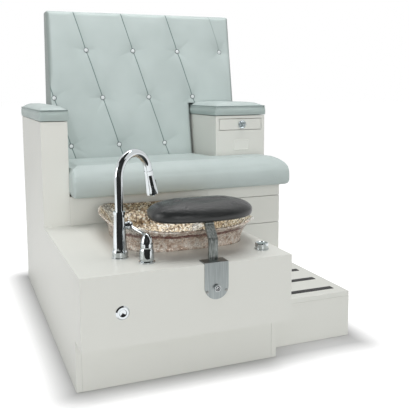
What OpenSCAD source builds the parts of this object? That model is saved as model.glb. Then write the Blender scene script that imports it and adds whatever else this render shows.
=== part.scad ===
// Pedicure spa bench: a laminated cabinet with a foot deck, a step, a seat with a tufted back,
// a glass foot bowl with its fittings, a pull-down faucet, a padded footrest and three drawers.
// Millimetres, +Z up, +Y to the rear. The origin is on the floor, midway across the width and the depth.

/* [Cabinet] */
// Overall width over the side panels
seat_w = 1024; // [980:1:1100]
// Overall depth, foot base front to rear panel
total_d = 1323; // [1300:1:1450]
// Thickness of the laminated boards
panel_t = 18; // [16:1:20]
// Width of the foot base
foot_w = 678; // [660:1:700]
// Depth of the foot base, up to the seat front
foot_d = 686; // [660:1:720]
// Height of the foot deck above the floor
deck_h = 380; // [370:1:400]
// Height of the toe recess
toe_h = 163; // [120:1:175]
// Depth of the toe recess
toe_d = 94; // [60:1:110]
// Height of the top of the seat board
seat_h = 492; // [488:1:520]
// Height of the arm boxes
arm_h = 784; // [770:1:820]
// Width of the left arm box
left_arm_w = 101; // [80:1:120]
// Width of the right arm box
right_arm_w = 242; // [220:1:260]
// Depth of the right arm box, from its front to the cabinet's rear
right_arm_d = 496; // [470:1:520]

/* [Step] */
// Distance of the step's free side inside the cabinet's side
step_inset = 10; // [0:1:30]
// Distance of the step front behind the foot base front
step_front = 156; // [120:1:200]
// Height of the step
step_h = 168; // [150:1:175]
// Number of anti-slip treads
tread_count = 4; // [2:1:5]
// Width of one tread
tread_w = 24; // [15:1:30]
// Spacing of the treads
tread_pitch = 119; // [60:1:125]
// Distance of the tread ends from the step's sides
tread_margin = 36; // [20:1:60]
// Distance of the first tread's middle from the step front
tread_first = 56; // [40:1:70]

/* [Upholstery] */
// Overhang of the seat cushion in front of the seat base
seat_nose = 90; // [70:1:110]
// Thickness of the seat cushion at its front
cushion_h = 121; // [100:1:130]
// Fall of the seat cushion's top towards the back, in degrees
cushion_fall = 2.2; // [1:0.1:5]
// Radius of the cushion's upper front edge
nose_r = 66; // [40:1:75]
// Radius of the cushion's lower front edge
nose_low_r = 22; // [10:1:30]
// Radius of the cushion's upper right end
seat_end_r = 56; // [30:1:70]
// Height of the top of the back
back_top = 1258; // [1150:1:1300]
// Recline of the back's front face, in degrees
back_recline = 9.3; // [6:0.1:11]
// Depth of the whole back at arm pad height, in front of the rear panel
back_d = 172; // [158:1:188]
// Thickness of the back cushion
back_t = 54; // [46:1:64]
// Radius of the back cushion's edges
back_edge_r = 10; // [6:1:24]
// Thickness of the arm pads
arm_pad_h = 53; // [40:1:60]
// Overhang of the arm pads past the arm boxes
arm_pad_overhang = 6; // [3:1:10]
// Spacing of the diagonal seams
tuft_pitch = 224; // [200:1:240]
// Vertical spacing of the button rows
tuft_row = 218; // [200:1:225]
// Shift of each seam to the right per row
tuft_shift = 65; // [50:1:80]
// Distance of the upper button row below the back's top
tuft_drop = 171; // [160:1:190]
// Distance of the first upper button from the cabinet's left side
tuft_x = 283; // [270:1:300]
// Diameter of a tuft button
button_d = 20; // [16:1:24]

/* [Foot bowl] */
// Distance of the rim from the deck's left side
bowl_left = 170; // [168:1:180]
// Distance of the rim from the deck's right side
bowl_right = 14; // [8:1:30]
// Distance of the rim from the deck's front
bowl_front = 117; // [112:1:125]
// Distance of the rim from the seat base
bowl_back = 25; // [15:1:40]
// Height of the rim above the deck
bowl_rise = 72; // [64:1:80]
// Depth of the bowl below the deck
bowl_drop = 80; // [60:1:100]
// Overhang of the rim past the wall, to the left and right
rim_side = 34; // [28:1:40]
// Overhang of the rim past the wall, to the front and back
rim_front = 58; // [50:1:64]
// Inward slope of the wall below the deck
bowl_taper = 76; // [60:1:90]
// Roundness of the bowl in plan, 2 is an ellipse
bowl_power = 3.8; // [2.4:0.1:4.2]
// Rise of the rim at its four corners
rim_lift = 13; // [0:1:16]
// Thickness of the glass
glass_t = 9; // [7:0.5:11]

/* [Drain] */
// Outer radius of the tailpiece
tail_r = 19.05; // [18:0.05:20]
// Length of the tailpiece below the drain body
tail_len = 112; // [80:1:120]
// Lift of the stopper
stopper_lift = 10; // [6:1:12]
// Distance of the drain knob's middle from the deck's right side
knob_inset = 59; // [50:1:70]
// Middle of the drain knob behind the foot base front
knob_y = 92; // [85:1:100]
// Diameter of the drain knob
knob_d = 43; // [36:1:46]
// Height of the drain knob
knob_h = 18; // [14:1:22]

/* [Faucet] */
// Faucet axis from the cabinet's left side
faucet_x = 163; // [155:1:170]
// Faucet axis behind the foot base front
faucet_y = 172; // [160:1:180]
// Height of the faucet body above the deck
faucet_body_h = 147; // [140:1:160]
// Outer radius of the spout tube
spout_r = 13.5; // [13:0.1:15]
// Radius of the gooseneck's middle line
neck_r = 72; // [64:1:80]
// Height of the straight riser above the body
riser_h = 104; // [80:1:120]
// Sweep of the gooseneck, in degrees
neck_sweep = 166; // [160:1:175]
// Direction of the spout from +X towards +Y, in degrees
spout_turn = 33; // [25:1:45]
// Straight tube at the end of the gooseneck
dock_len = 24; // [22:1:30]
// Length of the spray head
head_len = 70; // [60:1:80]
// Radius of the spray head at its face
head_r = 20; // [18:0.5:22]
// Height of the lever hub above the deck
lever_z = 100; // [96:1:108]
// Length of the lever from the hub's middle
lever_len = 60; // [50:1:64]

/* [Vacuum breaker] */
// Vacuum breaker axis from the cabinet's left side
breaker_x = 225; // [218:1:232]
// Vacuum breaker axis behind the foot base front
breaker_y = 90; // [80:1:95]
// Height of the vacuum breaker above the deck
breaker_h = 90; // [80:1:100]

/* [Push button] */
// Push button axis from the cabinet's left side
push_x = 122; // [100:1:150]
// Push button axis above the floor
push_z = 266; // [240:1:290]
// Diameter of the bezel
bezel_d = 42; // [38:1:46]
// Travel of the push button
push_travel = 4; // [2:0.5:5]

/* [Footrest] */
// Middle of the footrest from the cabinet's left side
rest_x = 416; // [405:1:425]
// Width of the bracket plate
bracket_w = 78; // [70:1:90]
// Drop of the bracket plate below the deck
bracket_drop = 111; // [100:1:120]
// Thickness of the bracket plate
bracket_t = 4; // [3:0.5:5]
// Width of the flat bar
bar_w = 30; // [26:1:34]
// Thickness of the flat bar
bar_t = 8; // [6:0.5:9]
// Height of the bar's bend above the deck
bend_h = 68; // [60:1:80]
// Lean of the bar above its bend, in degrees
bar_lean = 37; // [30:1:42]
// Length of the pad
pad_len = 345; // [320:1:360]
// Depth of the pad, front to back
pad_d = 204; // [190:1:210]
// Thickness of the pad
pad_t = 59; // [50:1:64]
// Height of the pad's underside above the deck
pad_h = 115; // [110:1:130]
// Height adjustment of the footrest
rest_travel = 80; // [40:1:90]

/* [Drawers] */
// Height of the joint between the two side drawers
drawer_split = 317; // [300:1:330]
// Height of the joint above the upper side drawer
drawer_top = 437; // [425:1:445]
// Depth of the side drawer boxes
drawer_d = 356; // [300:1:380]
// Width of the arm drawer front
arm_drawer_w = 207; // [190:1:210]
// Height of the arm drawer front
arm_drawer_h = 48; // [44:1:54]
// Distance of the arm drawer front below the arm box top
arm_drawer_drop = 15; // [12:1:20]
// Room behind the arm drawer box, up to the rear panel
arm_drawer_gap = 255; // [240:1:300]
// Diameter of the crystal knob
crystal_d = 37; // [30:1:40]

/* [Hidden] */
$fn = 64;

// Colours
laminate = "#eceae4";
vinyl = "#b6c8c5";
black_vinyl = "#2b2d30";
chrome = "#c9ced3";
steel = "#a9adb0";
birch = "#cfae82";
glass = "#c08a6a";
rubber = "#1c1c1e";
crystal = "#dfe6ea";
copper = "#c98a5c";

// Clearances
soft_gap = 0.3;
run_gap = 0.05;
slide_gap = 0.2;
seat_gap = 0.4;
reveal = 2;
cut_over = 1;
// Overlap of two shapes that make one solid
join = 1;

// Heights and depths that several pieces share
deck_under = deck_h - panel_t;
seat_under = seat_h - panel_t;
seat_inner_y = foot_d + panel_t;
rear_inner_y = total_d - panel_t;
right_inner_x = seat_w - panel_t;
right_arm_x = seat_w - right_arm_w;
right_arm_y = total_d - right_arm_d;
arm_pad_top = arm_h + arm_pad_h;
step_x2 = seat_w - step_inset;

// Front and rear planes of the back cushion at a height
function back_front(z) = rear_inner_y - back_d + (z - arm_pad_top) * tan(back_recline);
function back_rear(z) = back_front(z) + back_t / cos(back_recline);

// Points of an arc about a centre, from one angle to another
arc_steps = 8;
function arc(c, r, from, to) =
    [for (i = [0 : arc_steps]) let (a = from + (to - from) * i / arc_steps) c + r * [cos(a), sin(a)]];

// Points of a rectangle with its own radius at the low and at the high corners
function rounded(lo, hi, r_low, r_high) = concat(
    arc([lo.x + r_low, lo.y + r_low], r_low, 180, 270),
    arc([hi.x - r_low, lo.y + r_low], r_low, 270, 360),
    arc([hi.x - r_high, hi.y - r_high], r_high, 0, 90),
    arc([lo.x + r_high, hi.y - r_high], r_high, 90, 180));

// One point of a superellipse
function super_point(a, b, power, t) = [
    a * sign(cos(t)) * pow(abs(cos(t)), 2 / power),
    b * sign(sin(t)) * pow(abs(sin(t)), 2 / power)];

// Moves cabinet coordinates, from the left side, the front and the floor, to the part's origin
module cabinet() {
    translate([-seat_w / 2, -total_d / 2, 0]) children();
}

// A board between two corners
module board(lo, hi) {
    translate(lo) cube(hi - lo);
}

// An outline in Y and Z, extruded along X between two places
module across(x1, x2) {
    translate([x1, 0, 0]) rotate([90, 0, 90]) linear_extrude(x2 - x1) children();
}

// An outline in X and Z, extruded along Y between two places
module along(y1, y2) {
    translate([0, y2, 0]) rotate([90, 0, 0]) linear_extrude(y2 - y1) children();
}

// A closed solid through rings of points, from the first ring to the last
module loft(rings) {
    n = len(rings[0]);
    sides = [for (j = [0 : len(rings) - 2], i = [0 : n - 1])
        let (a = j * n + i, b = j * n + (i + 1) % n) each [[a, a + n, b + n], [a, b + n, b]]];
    first = [[for (i = [0 : n - 1]) i]];
    last = [[for (i = [n - 1 : -1 : 0]) (len(rings) - 1) * n + i]];
    polyhedron(points = [for (r = rings) each r], faces = concat(sides, first, last));
}

// Laminated boards of the foot base

foot_side_outline = [
    [toe_d, 0], [foot_d, 0], [foot_d, deck_under], [panel_t, deck_under], [panel_t, toe_h], [toe_d, toe_h]];

module left_side_panel() {
    outline = [
        [toe_d, 0], [total_d, 0], [total_d, arm_h], [seat_inner_y, arm_h], [seat_inner_y, deck_under],
        [panel_t, deck_under], [panel_t, toe_h], [toe_d, toe_h]];
    color(laminate) cabinet() across(0, panel_t) polygon(outline);
}

// A round hole through the front panel
module through_front(x, z, r) {
    translate([x, -cut_over, z]) rotate([-90, 0, 0]) cylinder(r = r, h = panel_t + 2 * cut_over);
}

module foot_front_panel() {
    color(laminate) cabinet() difference() {
        board([0, 0, toe_h], [foot_w, panel_t, deck_under]);
        through_front(push_x, push_z, shank_hole_r);
        through_front(rest_x, bolt_z, bolt_hole_r);
    }
}

module foot_right_panel() {
    color(laminate) cabinet() across(foot_w - panel_t, foot_w) polygon(foot_side_outline);
}

// The kick board and the underside of the overhang in front of it
module toe_kick() {
    outline = [
        [toe_d, 0], [toe_d + panel_t, 0], [toe_d + panel_t, toe_h + panel_t], [panel_t, toe_h + panel_t],
        [panel_t, toe_h], [toe_d, toe_h]];
    color(laminate) cabinet() across(panel_t, foot_w - panel_t) polygon(outline);
}

module deck_top() {
    color(laminate) cabinet() difference() {
        board([0, 0, deck_under], [foot_w, foot_d, deck_h]);
        translate([bowl_x, bowl_y, deck_under - cut_over]) linear_extrude(panel_t + 2 * cut_over)
            polygon([for (p = bowl_ring(deck_share, -seat_gap)) [p.x, p.y]]);
        for (p = deck_fittings) translate([p.x, p.y, deck_under - cut_over])
            cylinder(r = shank_hole_r, h = panel_t + 2 * cut_over);
        translate([rest_x - bar_w / 2 - reveal, bar_y - bar_t / 2 - reveal, deck_under - cut_over])
            cube([bar_w + 2 * reveal, bar_t + 2 * reveal, panel_t + 2 * cut_over]);
    }
}

// Laminated boards of the seat base

module seat_front_panel() {
    color(laminate) cabinet() board([left_arm_w, foot_d, 0], [foot_w, seat_inner_y, seat_h]);
}

// The rails above and below the side drawers
module seat_front_rails() {
    color(laminate) cabinet() {
        board([foot_w, foot_d, drawer_top + reveal / 2], [seat_w, seat_inner_y, seat_h]);
        board([foot_w, foot_d, 0], [seat_w, seat_inner_y, step_h]);
    }
}

module drawer_partition() {
    color(birch) cabinet() board([foot_w, seat_inner_y, 0], [foot_w + panel_t, rear_inner_y, seat_under]);
}

module right_side_panel() {
    outline = [
        [seat_inner_y, 0], [total_d, 0], [total_d, arm_h], [right_arm_y + panel_t, arm_h],
        [right_arm_y + panel_t, seat_h], [seat_inner_y, seat_h]];
    color(laminate) cabinet() across(right_inner_x, seat_w) polygon(outline);
}

module rear_panel() {
    color(laminate) cabinet() board([panel_t, rear_inner_y, 0], [right_inner_x, total_d, arm_h]);
}

module seat_board() {
    color(birch) cabinet() board([panel_t, seat_inner_y, seat_under], [right_inner_x, rear_inner_y, seat_h]);
}

module left_arm_front() {
    color(laminate) cabinet() board([0, foot_d, deck_under], [left_arm_w, seat_inner_y, arm_h]);
}

module left_arm_inner_panel() {
    color(laminate) cabinet()
        board([left_arm_w - panel_t, seat_inner_y, seat_h], [left_arm_w, rear_inner_y, arm_h]);
}

module right_arm_front() {
    color(laminate) cabinet() difference() {
        board([right_arm_x, right_arm_y, seat_h], [seat_w, right_arm_y + panel_t, arm_h]);
        board([arm_drawer_x1 - reveal, right_arm_y - cut_over, arm_drawer_z1 - reveal],
            [arm_drawer_x2 + reveal, right_arm_y + panel_t + cut_over, arm_drawer_z2 + reveal]);
    }
}

// The inner side of the right arm, which runs back to the rear panel
module right_arm_inner_panel() {
    color(laminate) cabinet() board([right_arm_x, right_arm_y + panel_t, seat_h],
        [right_arm_x + panel_t, rear_inner_y, arm_h]);
}

// Step

tread_depth = 6;
tread_proud = 1;

module step_front() {
    color(laminate) cabinet()
        board([foot_w, step_front, 0], [step_x2, step_front + panel_t, step_h - panel_t]);
}

module step_side() {
    color(laminate) cabinet()
        board([step_x2 - panel_t, step_front + panel_t, 0], [step_x2, foot_d, step_h - panel_t]);
}

// The places of the treads, as far as they fit on the step
tread_places = [for (i = [0 : tread_count - 1]) let (y = step_front + tread_first + i * tread_pitch)
    if (y + tread_w < foot_d) y];

module tread(y, side, top) {
    board([foot_w + tread_margin - side, y - tread_w / 2 - side, step_h - tread_depth - side],
        [step_x2 - tread_margin + side, y + tread_w / 2 + side, step_h + top]);
}

module step_top() {
    color(laminate) cabinet() difference() {
        board([foot_w, step_front, step_h - panel_t], [step_x2, foot_d, step_h]);
        for (y = tread_places) tread(y, soft_gap, cut_over);
    }
}

module step_treads() {
    color(rubber) cabinet() for (y = tread_places) tread(y, 0, tread_proud);
}

// Upholstery

seat_x1 = left_arm_w + reveal;
seat_x2 = seat_w + arm_pad_overhang;
seat_y1 = foot_d - seat_nose;
seat_y2 = back_front(seat_h) - soft_gap;
seat_low = seat_h + soft_gap;
seat_top = seat_h + cushion_h;

// The L-shaped seat cushion: its front runs past the right arm, its rear lies between the arms
module seat_cushion() {
    fall = tan(cushion_fall) * (seat_y2 - seat_y1 - nose_r);
    profile = concat(
        arc([seat_y1 + nose_low_r, seat_low + nose_low_r], nose_low_r, 270, 180),
        arc([seat_y1 + nose_r, seat_top - nose_r], nose_r, 180, 90),
        [[seat_y2, seat_top - fall], [seat_y2, seat_low]]);
    end = concat(
        [[seat_x1, seat_low]], arc([seat_x2 - nose_low_r, seat_low + nose_low_r], nose_low_r, 270, 360),
        arc([seat_x2 - seat_end_r, seat_top - seat_end_r], seat_end_r, 0, 90), [[seat_x1, seat_top]]);
    plan = [
        [seat_x1, seat_y1], [seat_x2, seat_y1], [seat_x2, right_arm_y - reveal],
        [right_arm_x - reveal, right_arm_y - reveal], [right_arm_x - reveal, seat_y2], [seat_x1, seat_y2]];
    color(vinyl) cabinet() intersection() {
        across(seat_x1, seat_x2) polygon(profile);
        along(0, total_d) polygon(end);
        translate([0, 0, seat_low]) linear_extrude(cushion_h) polygon(plan);
    }
}

back_gap = 1;
back_x1 = left_arm_w + arm_pad_overhang + back_gap;
back_x2 = right_inner_x - reveal;
back_board_top = back_top - panel_t;
board_inset = 24;

// Gaps between the back and the right arm, at the seat and at the arm pad
notch_low = 26;
notch_top = arm_pad_overhang + back_gap;

// The room of the right arm, which the back is notched for
module over_right_arm() {
    over_arm = arm_pad_top + soft_gap;
    along(0, total_d) polygon([
        [right_arm_x - notch_low, seat_h - cut_over], [right_arm_x - notch_top, over_arm],
        [back_x2 + cut_over, over_arm], [back_x2 + cut_over, seat_h - cut_over]]);
}

// The wedge-shaped board that holds the cushion at its lean, notched over the right arm
module back_board() {
    profile = [
        [back_rear(seat_h) + soft_gap, seat_h], [back_rear(back_board_top) + soft_gap, back_board_top],
        [rear_inner_y, back_board_top], [rear_inner_y, seat_h]];
    color(vinyl) cabinet() difference() {
        across(back_x1 + board_inset, back_x2 - board_inset) polygon(profile);
        over_right_arm();
    }
}

// Button places on the back: rows down the back, each seam shifted to the right by the row
tuft_rows = 3;
tuft_z1 = back_top - tuft_drop;
tuft_edge = 14;
seams = [-2 : 4];
tuft_places = [for (r = [0 : tuft_rows - 1], k = seams)
    let (x = tuft_x + r * tuft_shift + k * tuft_pitch, z = tuft_z1 - r * tuft_row)
    if (x > back_x1 + tuft_edge && x < (z > arm_pad_top ? back_x2 : right_arm_x) - tuft_edge) [x, z]];

// Stands children on the back cushion's front face, with +Z out of it
module on_back(x, z) {
    translate([x, back_front(z), z]) rotate([90 - back_recline, 0, 0]) children();
}

dimple_r = 40;
dimple_depth = 8;
button_depth = 6.2;
button_h = 5;
button_rim = 1;
seam_size = 7;
seam_angle = atan(tuft_shift / (tuft_row / cos(back_recline)));

// A leaning slab, notched over the right arm, with diagonal seams and a dimple for each button
module back_cushion() {
    low = seat_h + soft_gap;
    front_top = back_front(back_top);
    profile = concat(
        [[back_front(low), low]],
        arc([front_top + back_edge_r, back_top - back_edge_r], back_edge_r, 180 - back_recline, 90),
        [[back_rear(back_top), back_top], [back_rear(low), low]]);
    color(vinyl) cabinet() difference() {
        intersection() {
            across(back_x1, back_x2) polygon(profile);
            along(0, total_d)
                polygon(rounded([back_x1, low], [back_x2, back_top], pad_low_r, back_edge_r));
        }
        over_right_arm();
        for (p = tuft_places) on_back(p.x, p.y)
            translate([0, 0, dimple_r - dimple_depth]) sphere(r = dimple_r);
        for (k = seams) on_back(tuft_x + k * tuft_pitch, tuft_z1) rotate([0, 0, seam_angle])
            rotate([90, 0, 0]) rotate([0, 0, 45]) cube([seam_size, seam_size, 2 * back_top], center = true);
    }
}

module tuft_buttons() {
    color(crystal) cabinet() for (p = tuft_places) on_back(p.x, p.y) translate([0, 0, -button_depth])
        rotate_extrude() polygon(concat([[0, 0], [button_d / 2, 0], [button_d / 2, button_rim]],
            [for (i = [1 : arc_steps]) let (a = 90 * i / arc_steps)
                [button_d / 2 * cos(a), button_rim + (button_h - button_rim) * sin(a)]]));
}

pad_edge_r = 14;
pad_low_r = 3;

// A boxed arm pad between two places across and two along the bench
module arm_pad(x1, x2, y1, y2) {
    low = arm_h + soft_gap;
    color(vinyl) cabinet() intersection() {
        along(0, total_d) polygon(rounded([x1, low], [x2, arm_pad_top], pad_low_r, pad_edge_r));
        across(x1, x2) polygon(rounded([y1, low], [y2, arm_pad_top], pad_low_r, pad_edge_r));
    }
}

module left_arm_pad() {
    arm_pad(-arm_pad_overhang, left_arm_w + arm_pad_overhang, foot_d - arm_pad_overhang, total_d);
}

// The right pad runs back under the overhang of the back cushion
module right_arm_pad() {
    arm_pad(right_arm_x - arm_pad_overhang, seat_w + arm_pad_overhang,
        right_arm_y - arm_pad_overhang, total_d);
}

// Glass foot bowl, wedged in the deck's cut-out

bowl_w = foot_w - bowl_left - bowl_right;
bowl_d = foot_d - bowl_front - bowl_back;
bowl_x = bowl_left + bowl_w / 2;
bowl_y = bowl_front + bowl_d / 2;
bowl_h = bowl_rise + bowl_drop;
bowl_low = deck_h - bowl_drop;
bowl_points = 64;
foot_round = 20;
foot_round_end = 0.16;
floor_share = glass_t / bowl_h;
deck_share = bowl_drop / bowl_h;
// Shares of the bowl's height where its rings lie, outside upward and then inside downward
rim_steps = [0, 0.35, 0.6, 0.8, 1];
rim_shares = [for (u = rim_steps) deck_share + (1 - deck_share) * u];
outer_shares = concat([0, 0.05, foot_round_end], rim_shares);
inner_shares = concat([for (i = [len(rim_shares) - 1 : -1 : 0]) rim_shares[i]],
    [foot_round_end + 0.04, floor_share + 0.03, floor_share]);
// How late the wall turns outward to the rim, 1 is a straight slope
rim_curl = 2.2;

// How far a share of the bowl's height is from the deck to the rim, 0 to 1
function above_deck(s) = max(0, (s - deck_share) / (1 - deck_share));

// How far the wall is inside the rim, at a share of the bowl's height, for an overhang of the rim
function bowl_inset(s, overhang) = overhang * (1 - pow(above_deck(s), rim_curl))
    + bowl_taper * max(0, 1 - s / deck_share) + foot_round * pow(max(0, 1 - s / foot_round_end), 2);

// Rise of the rim's corners, which starts above the deck
function bowl_lift(s) = rim_lift * pow(above_deck(s), 2);

// One ring of the bowl at a share of its height, moved inward
function bowl_ring(s, inward) = [for (i = [0 : bowl_points - 1])
    let (t = 360 * i / bowl_points,
        p = super_point(bowl_w / 2 - bowl_inset(s, rim_side) - inward,
            bowl_d / 2 - bowl_inset(s, rim_front) - inward, bowl_power, t))
    [p.x, p.y, bowl_low + s * bowl_h + bowl_lift(s) * pow(sin(2 * t), 2)]];

module glass_bowl() {
    outer = [for (s = outer_shares) bowl_ring(s, 0)];
    inner = [for (s = inner_shares) bowl_ring(s, glass_t)];
    color(glass, 0.7) cabinet() translate([bowl_x, bowl_y, 0]) difference() {
        loft(concat(outer, inner));
        translate([0, 0, bowl_low - cut_over]) cylinder(r = drain_r + seat_gap, h = glass_t + 2 * cut_over);
    }
}

// Drain with a pop-up stopper

drain_r = 23.5;
drain_flange_r = 35;
drain_flange_t = 3;
drain_body_h = 48;
drain_nut_h = 12;
tail_seat = 0.55;
drain_bore_r = tail_r - tail_seat;
tail_wall = 1.5;
stem_r = 4;
stem_hub_r = 7;
stem_hub_h = 10;
stem_hub_drop = 30;
spoke_t = 3;
stopper_t = 5;
stopper_r = 27;
stopper_lip = 2;
stopper_edge = 3;
stopper_crown = 12;
bowl_floor = bowl_low + glass_t;
drain_low = bowl_floor - drain_body_h;
stem_hub_top = bowl_floor - stem_hub_drop + stem_hub_h;

module at_drain(z) {
    cabinet() translate([bowl_x, bowl_y, z]) children();
}

// The flanged drain tube, with three spokes that carry the stopper's guide
module drain_body() {
    color(chrome) at_drain(0) difference() {
        union() {
            difference() {
                union() {
                    translate([0, 0, bowl_floor]) cylinder(r = drain_flange_r, h = drain_flange_t);
                    translate([0, 0, drain_low]) cylinder(r = drain_r, h = drain_body_h + drain_flange_t);
                }
                translate([0, 0, drain_low - cut_over])
                    cylinder(r = drain_bore_r, h = drain_body_h + drain_flange_t + 2 * cut_over);
            }
            translate([0, 0, stem_hub_top - stem_hub_h]) cylinder(r = stem_hub_r, h = stem_hub_h);
            for (a = [0, 120, 240]) rotate([0, 0, a]) translate([0, -spoke_t / 2, stem_hub_top - stem_hub_h])
                cube([drain_r - join, spoke_t, stem_hub_h]);
        }
        translate([0, 0, stem_hub_top - stem_hub_h - cut_over])
            cylinder(r = stem_r + run_gap, h = stem_hub_h + 2 * cut_over);
    }
}

module drain_nut() {
    color(steel) at_drain(bowl_low - drain_nut_h) difference() {
        cylinder(r = drain_flange_r, h = drain_nut_h, $fn = 8);
        translate([0, 0, -cut_over]) cylinder(r = drain_r + run_gap, h = drain_nut_h + 2 * cut_over);
    }
}

module drain_tailpiece() {
    color(chrome) at_drain(drain_low - tail_len) difference() {
        cylinder(r = tail_r, h = tail_len);
        translate([0, 0, -cut_over]) cylinder(r = tail_r - tail_wall, h = tail_len + 2 * cut_over);
    }
}

module drain_stopper() {
    seat = bowl_floor + drain_flange_t + slide_gap;
    stem_low = stem_hub_top - stem_hub_h - stopper_lift;
    color(chrome) at_drain(0) {
        translate([0, 0, stem_low]) cylinder(r = stem_r, h = seat - stem_low + join);
        translate([0, 0, seat]) rotate_extrude() polygon([
            [0, 0], [stopper_r, 0], [stopper_r + stopper_lip, stopper_lip], [stopper_r, stopper_edge],
            [stopper_crown, stopper_t], [0, stopper_t]]);
    }
}

// Threaded shanks through the deck and the front panel, all with the same nut

shank_r = 14;
shank_hole_r = 14.5;
shank_len = 44;
nut_r = 22;
nut_h = 10;
knob_x = foot_w - knob_inset;
deck_fittings = [[faucet_x, faucet_y], [breaker_x, breaker_y], [knob_x, knob_y]];

module shank_nut() {
    difference() {
        cylinder(r = nut_r, h = nut_h, $fn = 6);
        translate([0, 0, -cut_over]) cylinder(r = shank_r + run_gap, h = nut_h + 2 * cut_over);
    }
}

module mounting_nuts() {
    color(steel) cabinet() {
        for (p = deck_fittings) translate([p.x, p.y, deck_under - nut_h]) shank_nut();
        translate([push_x, panel_t, push_z]) rotate([-90, 0, 0]) shank_nut();
    }
}

// Drain knob

knob_lip = 1.5;
knob_flange_r = knob_d / 2 + knob_lip;
knob_edge = 2;
knob_dish_r = knob_d / 2 - 7;
knob_mark = 3;
knob_flange_h = 4;
knob_pin_r = 6;
knob_pin_h = 12;

module at_deck(p) {
    cabinet() translate([p.x, p.y, deck_h]) children();
}

module drain_knob_base() {
    color(chrome) at_deck([knob_x, knob_y]) {
        cylinder(r = knob_flange_r, h = knob_flange_h);
        translate([0, 0, -shank_len]) cylinder(r = shank_r, h = shank_len);
        cylinder(r = knob_pin_r, h = knob_flange_h + knob_pin_h);
    }
}

module drain_knob() {
    low = knob_flange_h + slide_gap;
    color(chrome) at_deck([knob_x, knob_y]) difference() {
        translate([0, 0, low]) rotate_extrude() polygon([
            [0, 0], [knob_d / 2, 0], [knob_d / 2, knob_h - knob_edge], [knob_d / 2 - knob_edge, knob_h],
            [knob_dish_r + knob_edge, knob_h], [knob_dish_r, knob_h - knob_lip], [0, knob_h - knob_lip]]);
        translate([0, 0, low - cut_over])
            cylinder(r = knob_pin_r + run_gap, h = knob_pin_h + cut_over + slide_gap);
        translate([-knob_mark / 2, -knob_d, low + knob_h - knob_mark])
            cube([knob_mark, knob_d - knob_pin_r, 2 * knob_mark]);
    }
}

// Pull-down faucet

flange_r = 27;
flange_h = 26;
flange_step = 1.5;
body_low_r = 22.5;
body_top_r = 17;
ring_r = 19.5;
ring_h = 9;
spigot_h = 20;
spout_wall = 2.05;
spout_bore_r = spout_r - spout_wall;
spigot_r = spout_bore_r - run_gap;
hub_reach = 30;
hub_r = 14;
hub_face = 21.3;
hub_pin_r = 7;
boss_r = 11;

module at_faucet() {
    at_deck([faucet_x, faucet_y]) children();
}

module faucet_base() {
    color(chrome) at_faucet() difference() {
        rotate_extrude() polygon([
            [0, 0], [flange_r, 0], [flange_r, 2 * flange_step], [flange_r - flange_step, 3 * flange_step],
            [flange_r - flange_step, flange_h - 4 * flange_step], [body_low_r + flange_step, flange_h],
            [0, flange_h]]);
        translate([0, 0, -cut_over]) cylinder(r = shank_r + slide_gap, h = flange_h + 2 * cut_over);
    }
}

// The tapered body, with the spigot that the spout turns on and the pin that the lever hub turns on
module faucet_body() {
    ring_low = faucet_body_h - ring_h;
    color(chrome) at_faucet() {
        translate([0, 0, flange_h]) cylinder(r1 = body_low_r, r2 = body_top_r, h = ring_low - flange_h);
        translate([0, 0, ring_low]) cylinder(r = ring_r, h = ring_h);
        translate([0, 0, faucet_body_h - join]) cylinder(r = spigot_r, h = spigot_h + join);
        translate([0, 0, -shank_len]) cylinder(r = shank_r, h = shank_len + flange_h + join);
        translate([0, 0, lever_z]) rotate([0, 90, 0]) cylinder(r = boss_r, h = hub_face - slide_gap);
        translate([0, 0, lever_z]) rotate([0, 90, 0]) cylinder(r = hub_pin_r, h = hub_reach);
    }
}

// Turns the spout's own plane, X outward and Z up, to the spout's direction
module spout_plane() {
    at_faucet() rotate([0, 0, spout_turn]) children();
}

riser_low = faucet_body_h + slide_gap;
neck_z = faucet_body_h + riser_h;
dock_x = neck_r * (1 - cos(neck_sweep));
dock_z = neck_z + neck_r * sin(neck_sweep);

// Puts children at the gooseneck's end, with +Z along the tube and out of it
module at_dock() {
    spout_plane() translate([dock_x, 0, dock_z]) rotate([0, neck_sweep, 0]) children();
}

module neck_arc(r) {
    spout_plane() translate([neck_r, 0, neck_z]) rotate([90, 0, 0]) mirror([1, 0, 0])
        rotate_extrude(angle = neck_sweep) translate([neck_r, 0]) circle(r = r);
}

module faucet_spout() {
    color(chrome) difference() {
        union() {
            spout_plane() translate([0, 0, riser_low]) cylinder(r = spout_r, h = neck_z - riser_low);
            neck_arc(spout_r);
            at_dock() cylinder(r = spout_r, h = dock_len);
        }
        spout_plane() translate([0, 0, riser_low - cut_over])
            cylinder(r = spout_bore_r, h = neck_z - riser_low + cut_over);
        neck_arc(spout_bore_r);
        at_dock() cylinder(r = spout_bore_r, h = dock_len + cut_over);
    }
}

dock_sleeve = 14;
dock_wall = 1.8;
dock_r = spout_r + dock_wall;

module spray_dock() {
    color(chrome) at_dock() translate([0, 0, dock_len - dock_sleeve]) difference() {
        cylinder(r = dock_r, h = dock_sleeve);
        translate([0, 0, -cut_over]) cylinder(r = spout_r + run_gap, h = dock_sleeve + 2 * cut_over);
    }
}

nipple_len = 22;
head_top_r = 14.5;
toggle_w = 11;
toggle_len = 26;
toggle_start = 26;
toggle_depth = 5;
toggle_proud = 3;
toggle_room = 2;
head_band = 10;
head_edge = 3;
face_recess = 2;
face_r = head_r - 4;

// Radius of the spray head at a distance below its top
function head_radius(z) = head_top_r + (head_r - head_top_r) * min(1, z / (head_len - head_band));

// A pocket or a piece on the side of the spray head that faces away from the riser
module toggle_block(side, low, high) {
    translate([-high, -toggle_w / 2 - side, toggle_start - side])
        cube([high - low, toggle_w + 2 * side, toggle_len + 2 * side]);
}

toggle_seat = head_radius(toggle_start) - toggle_depth;

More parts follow.
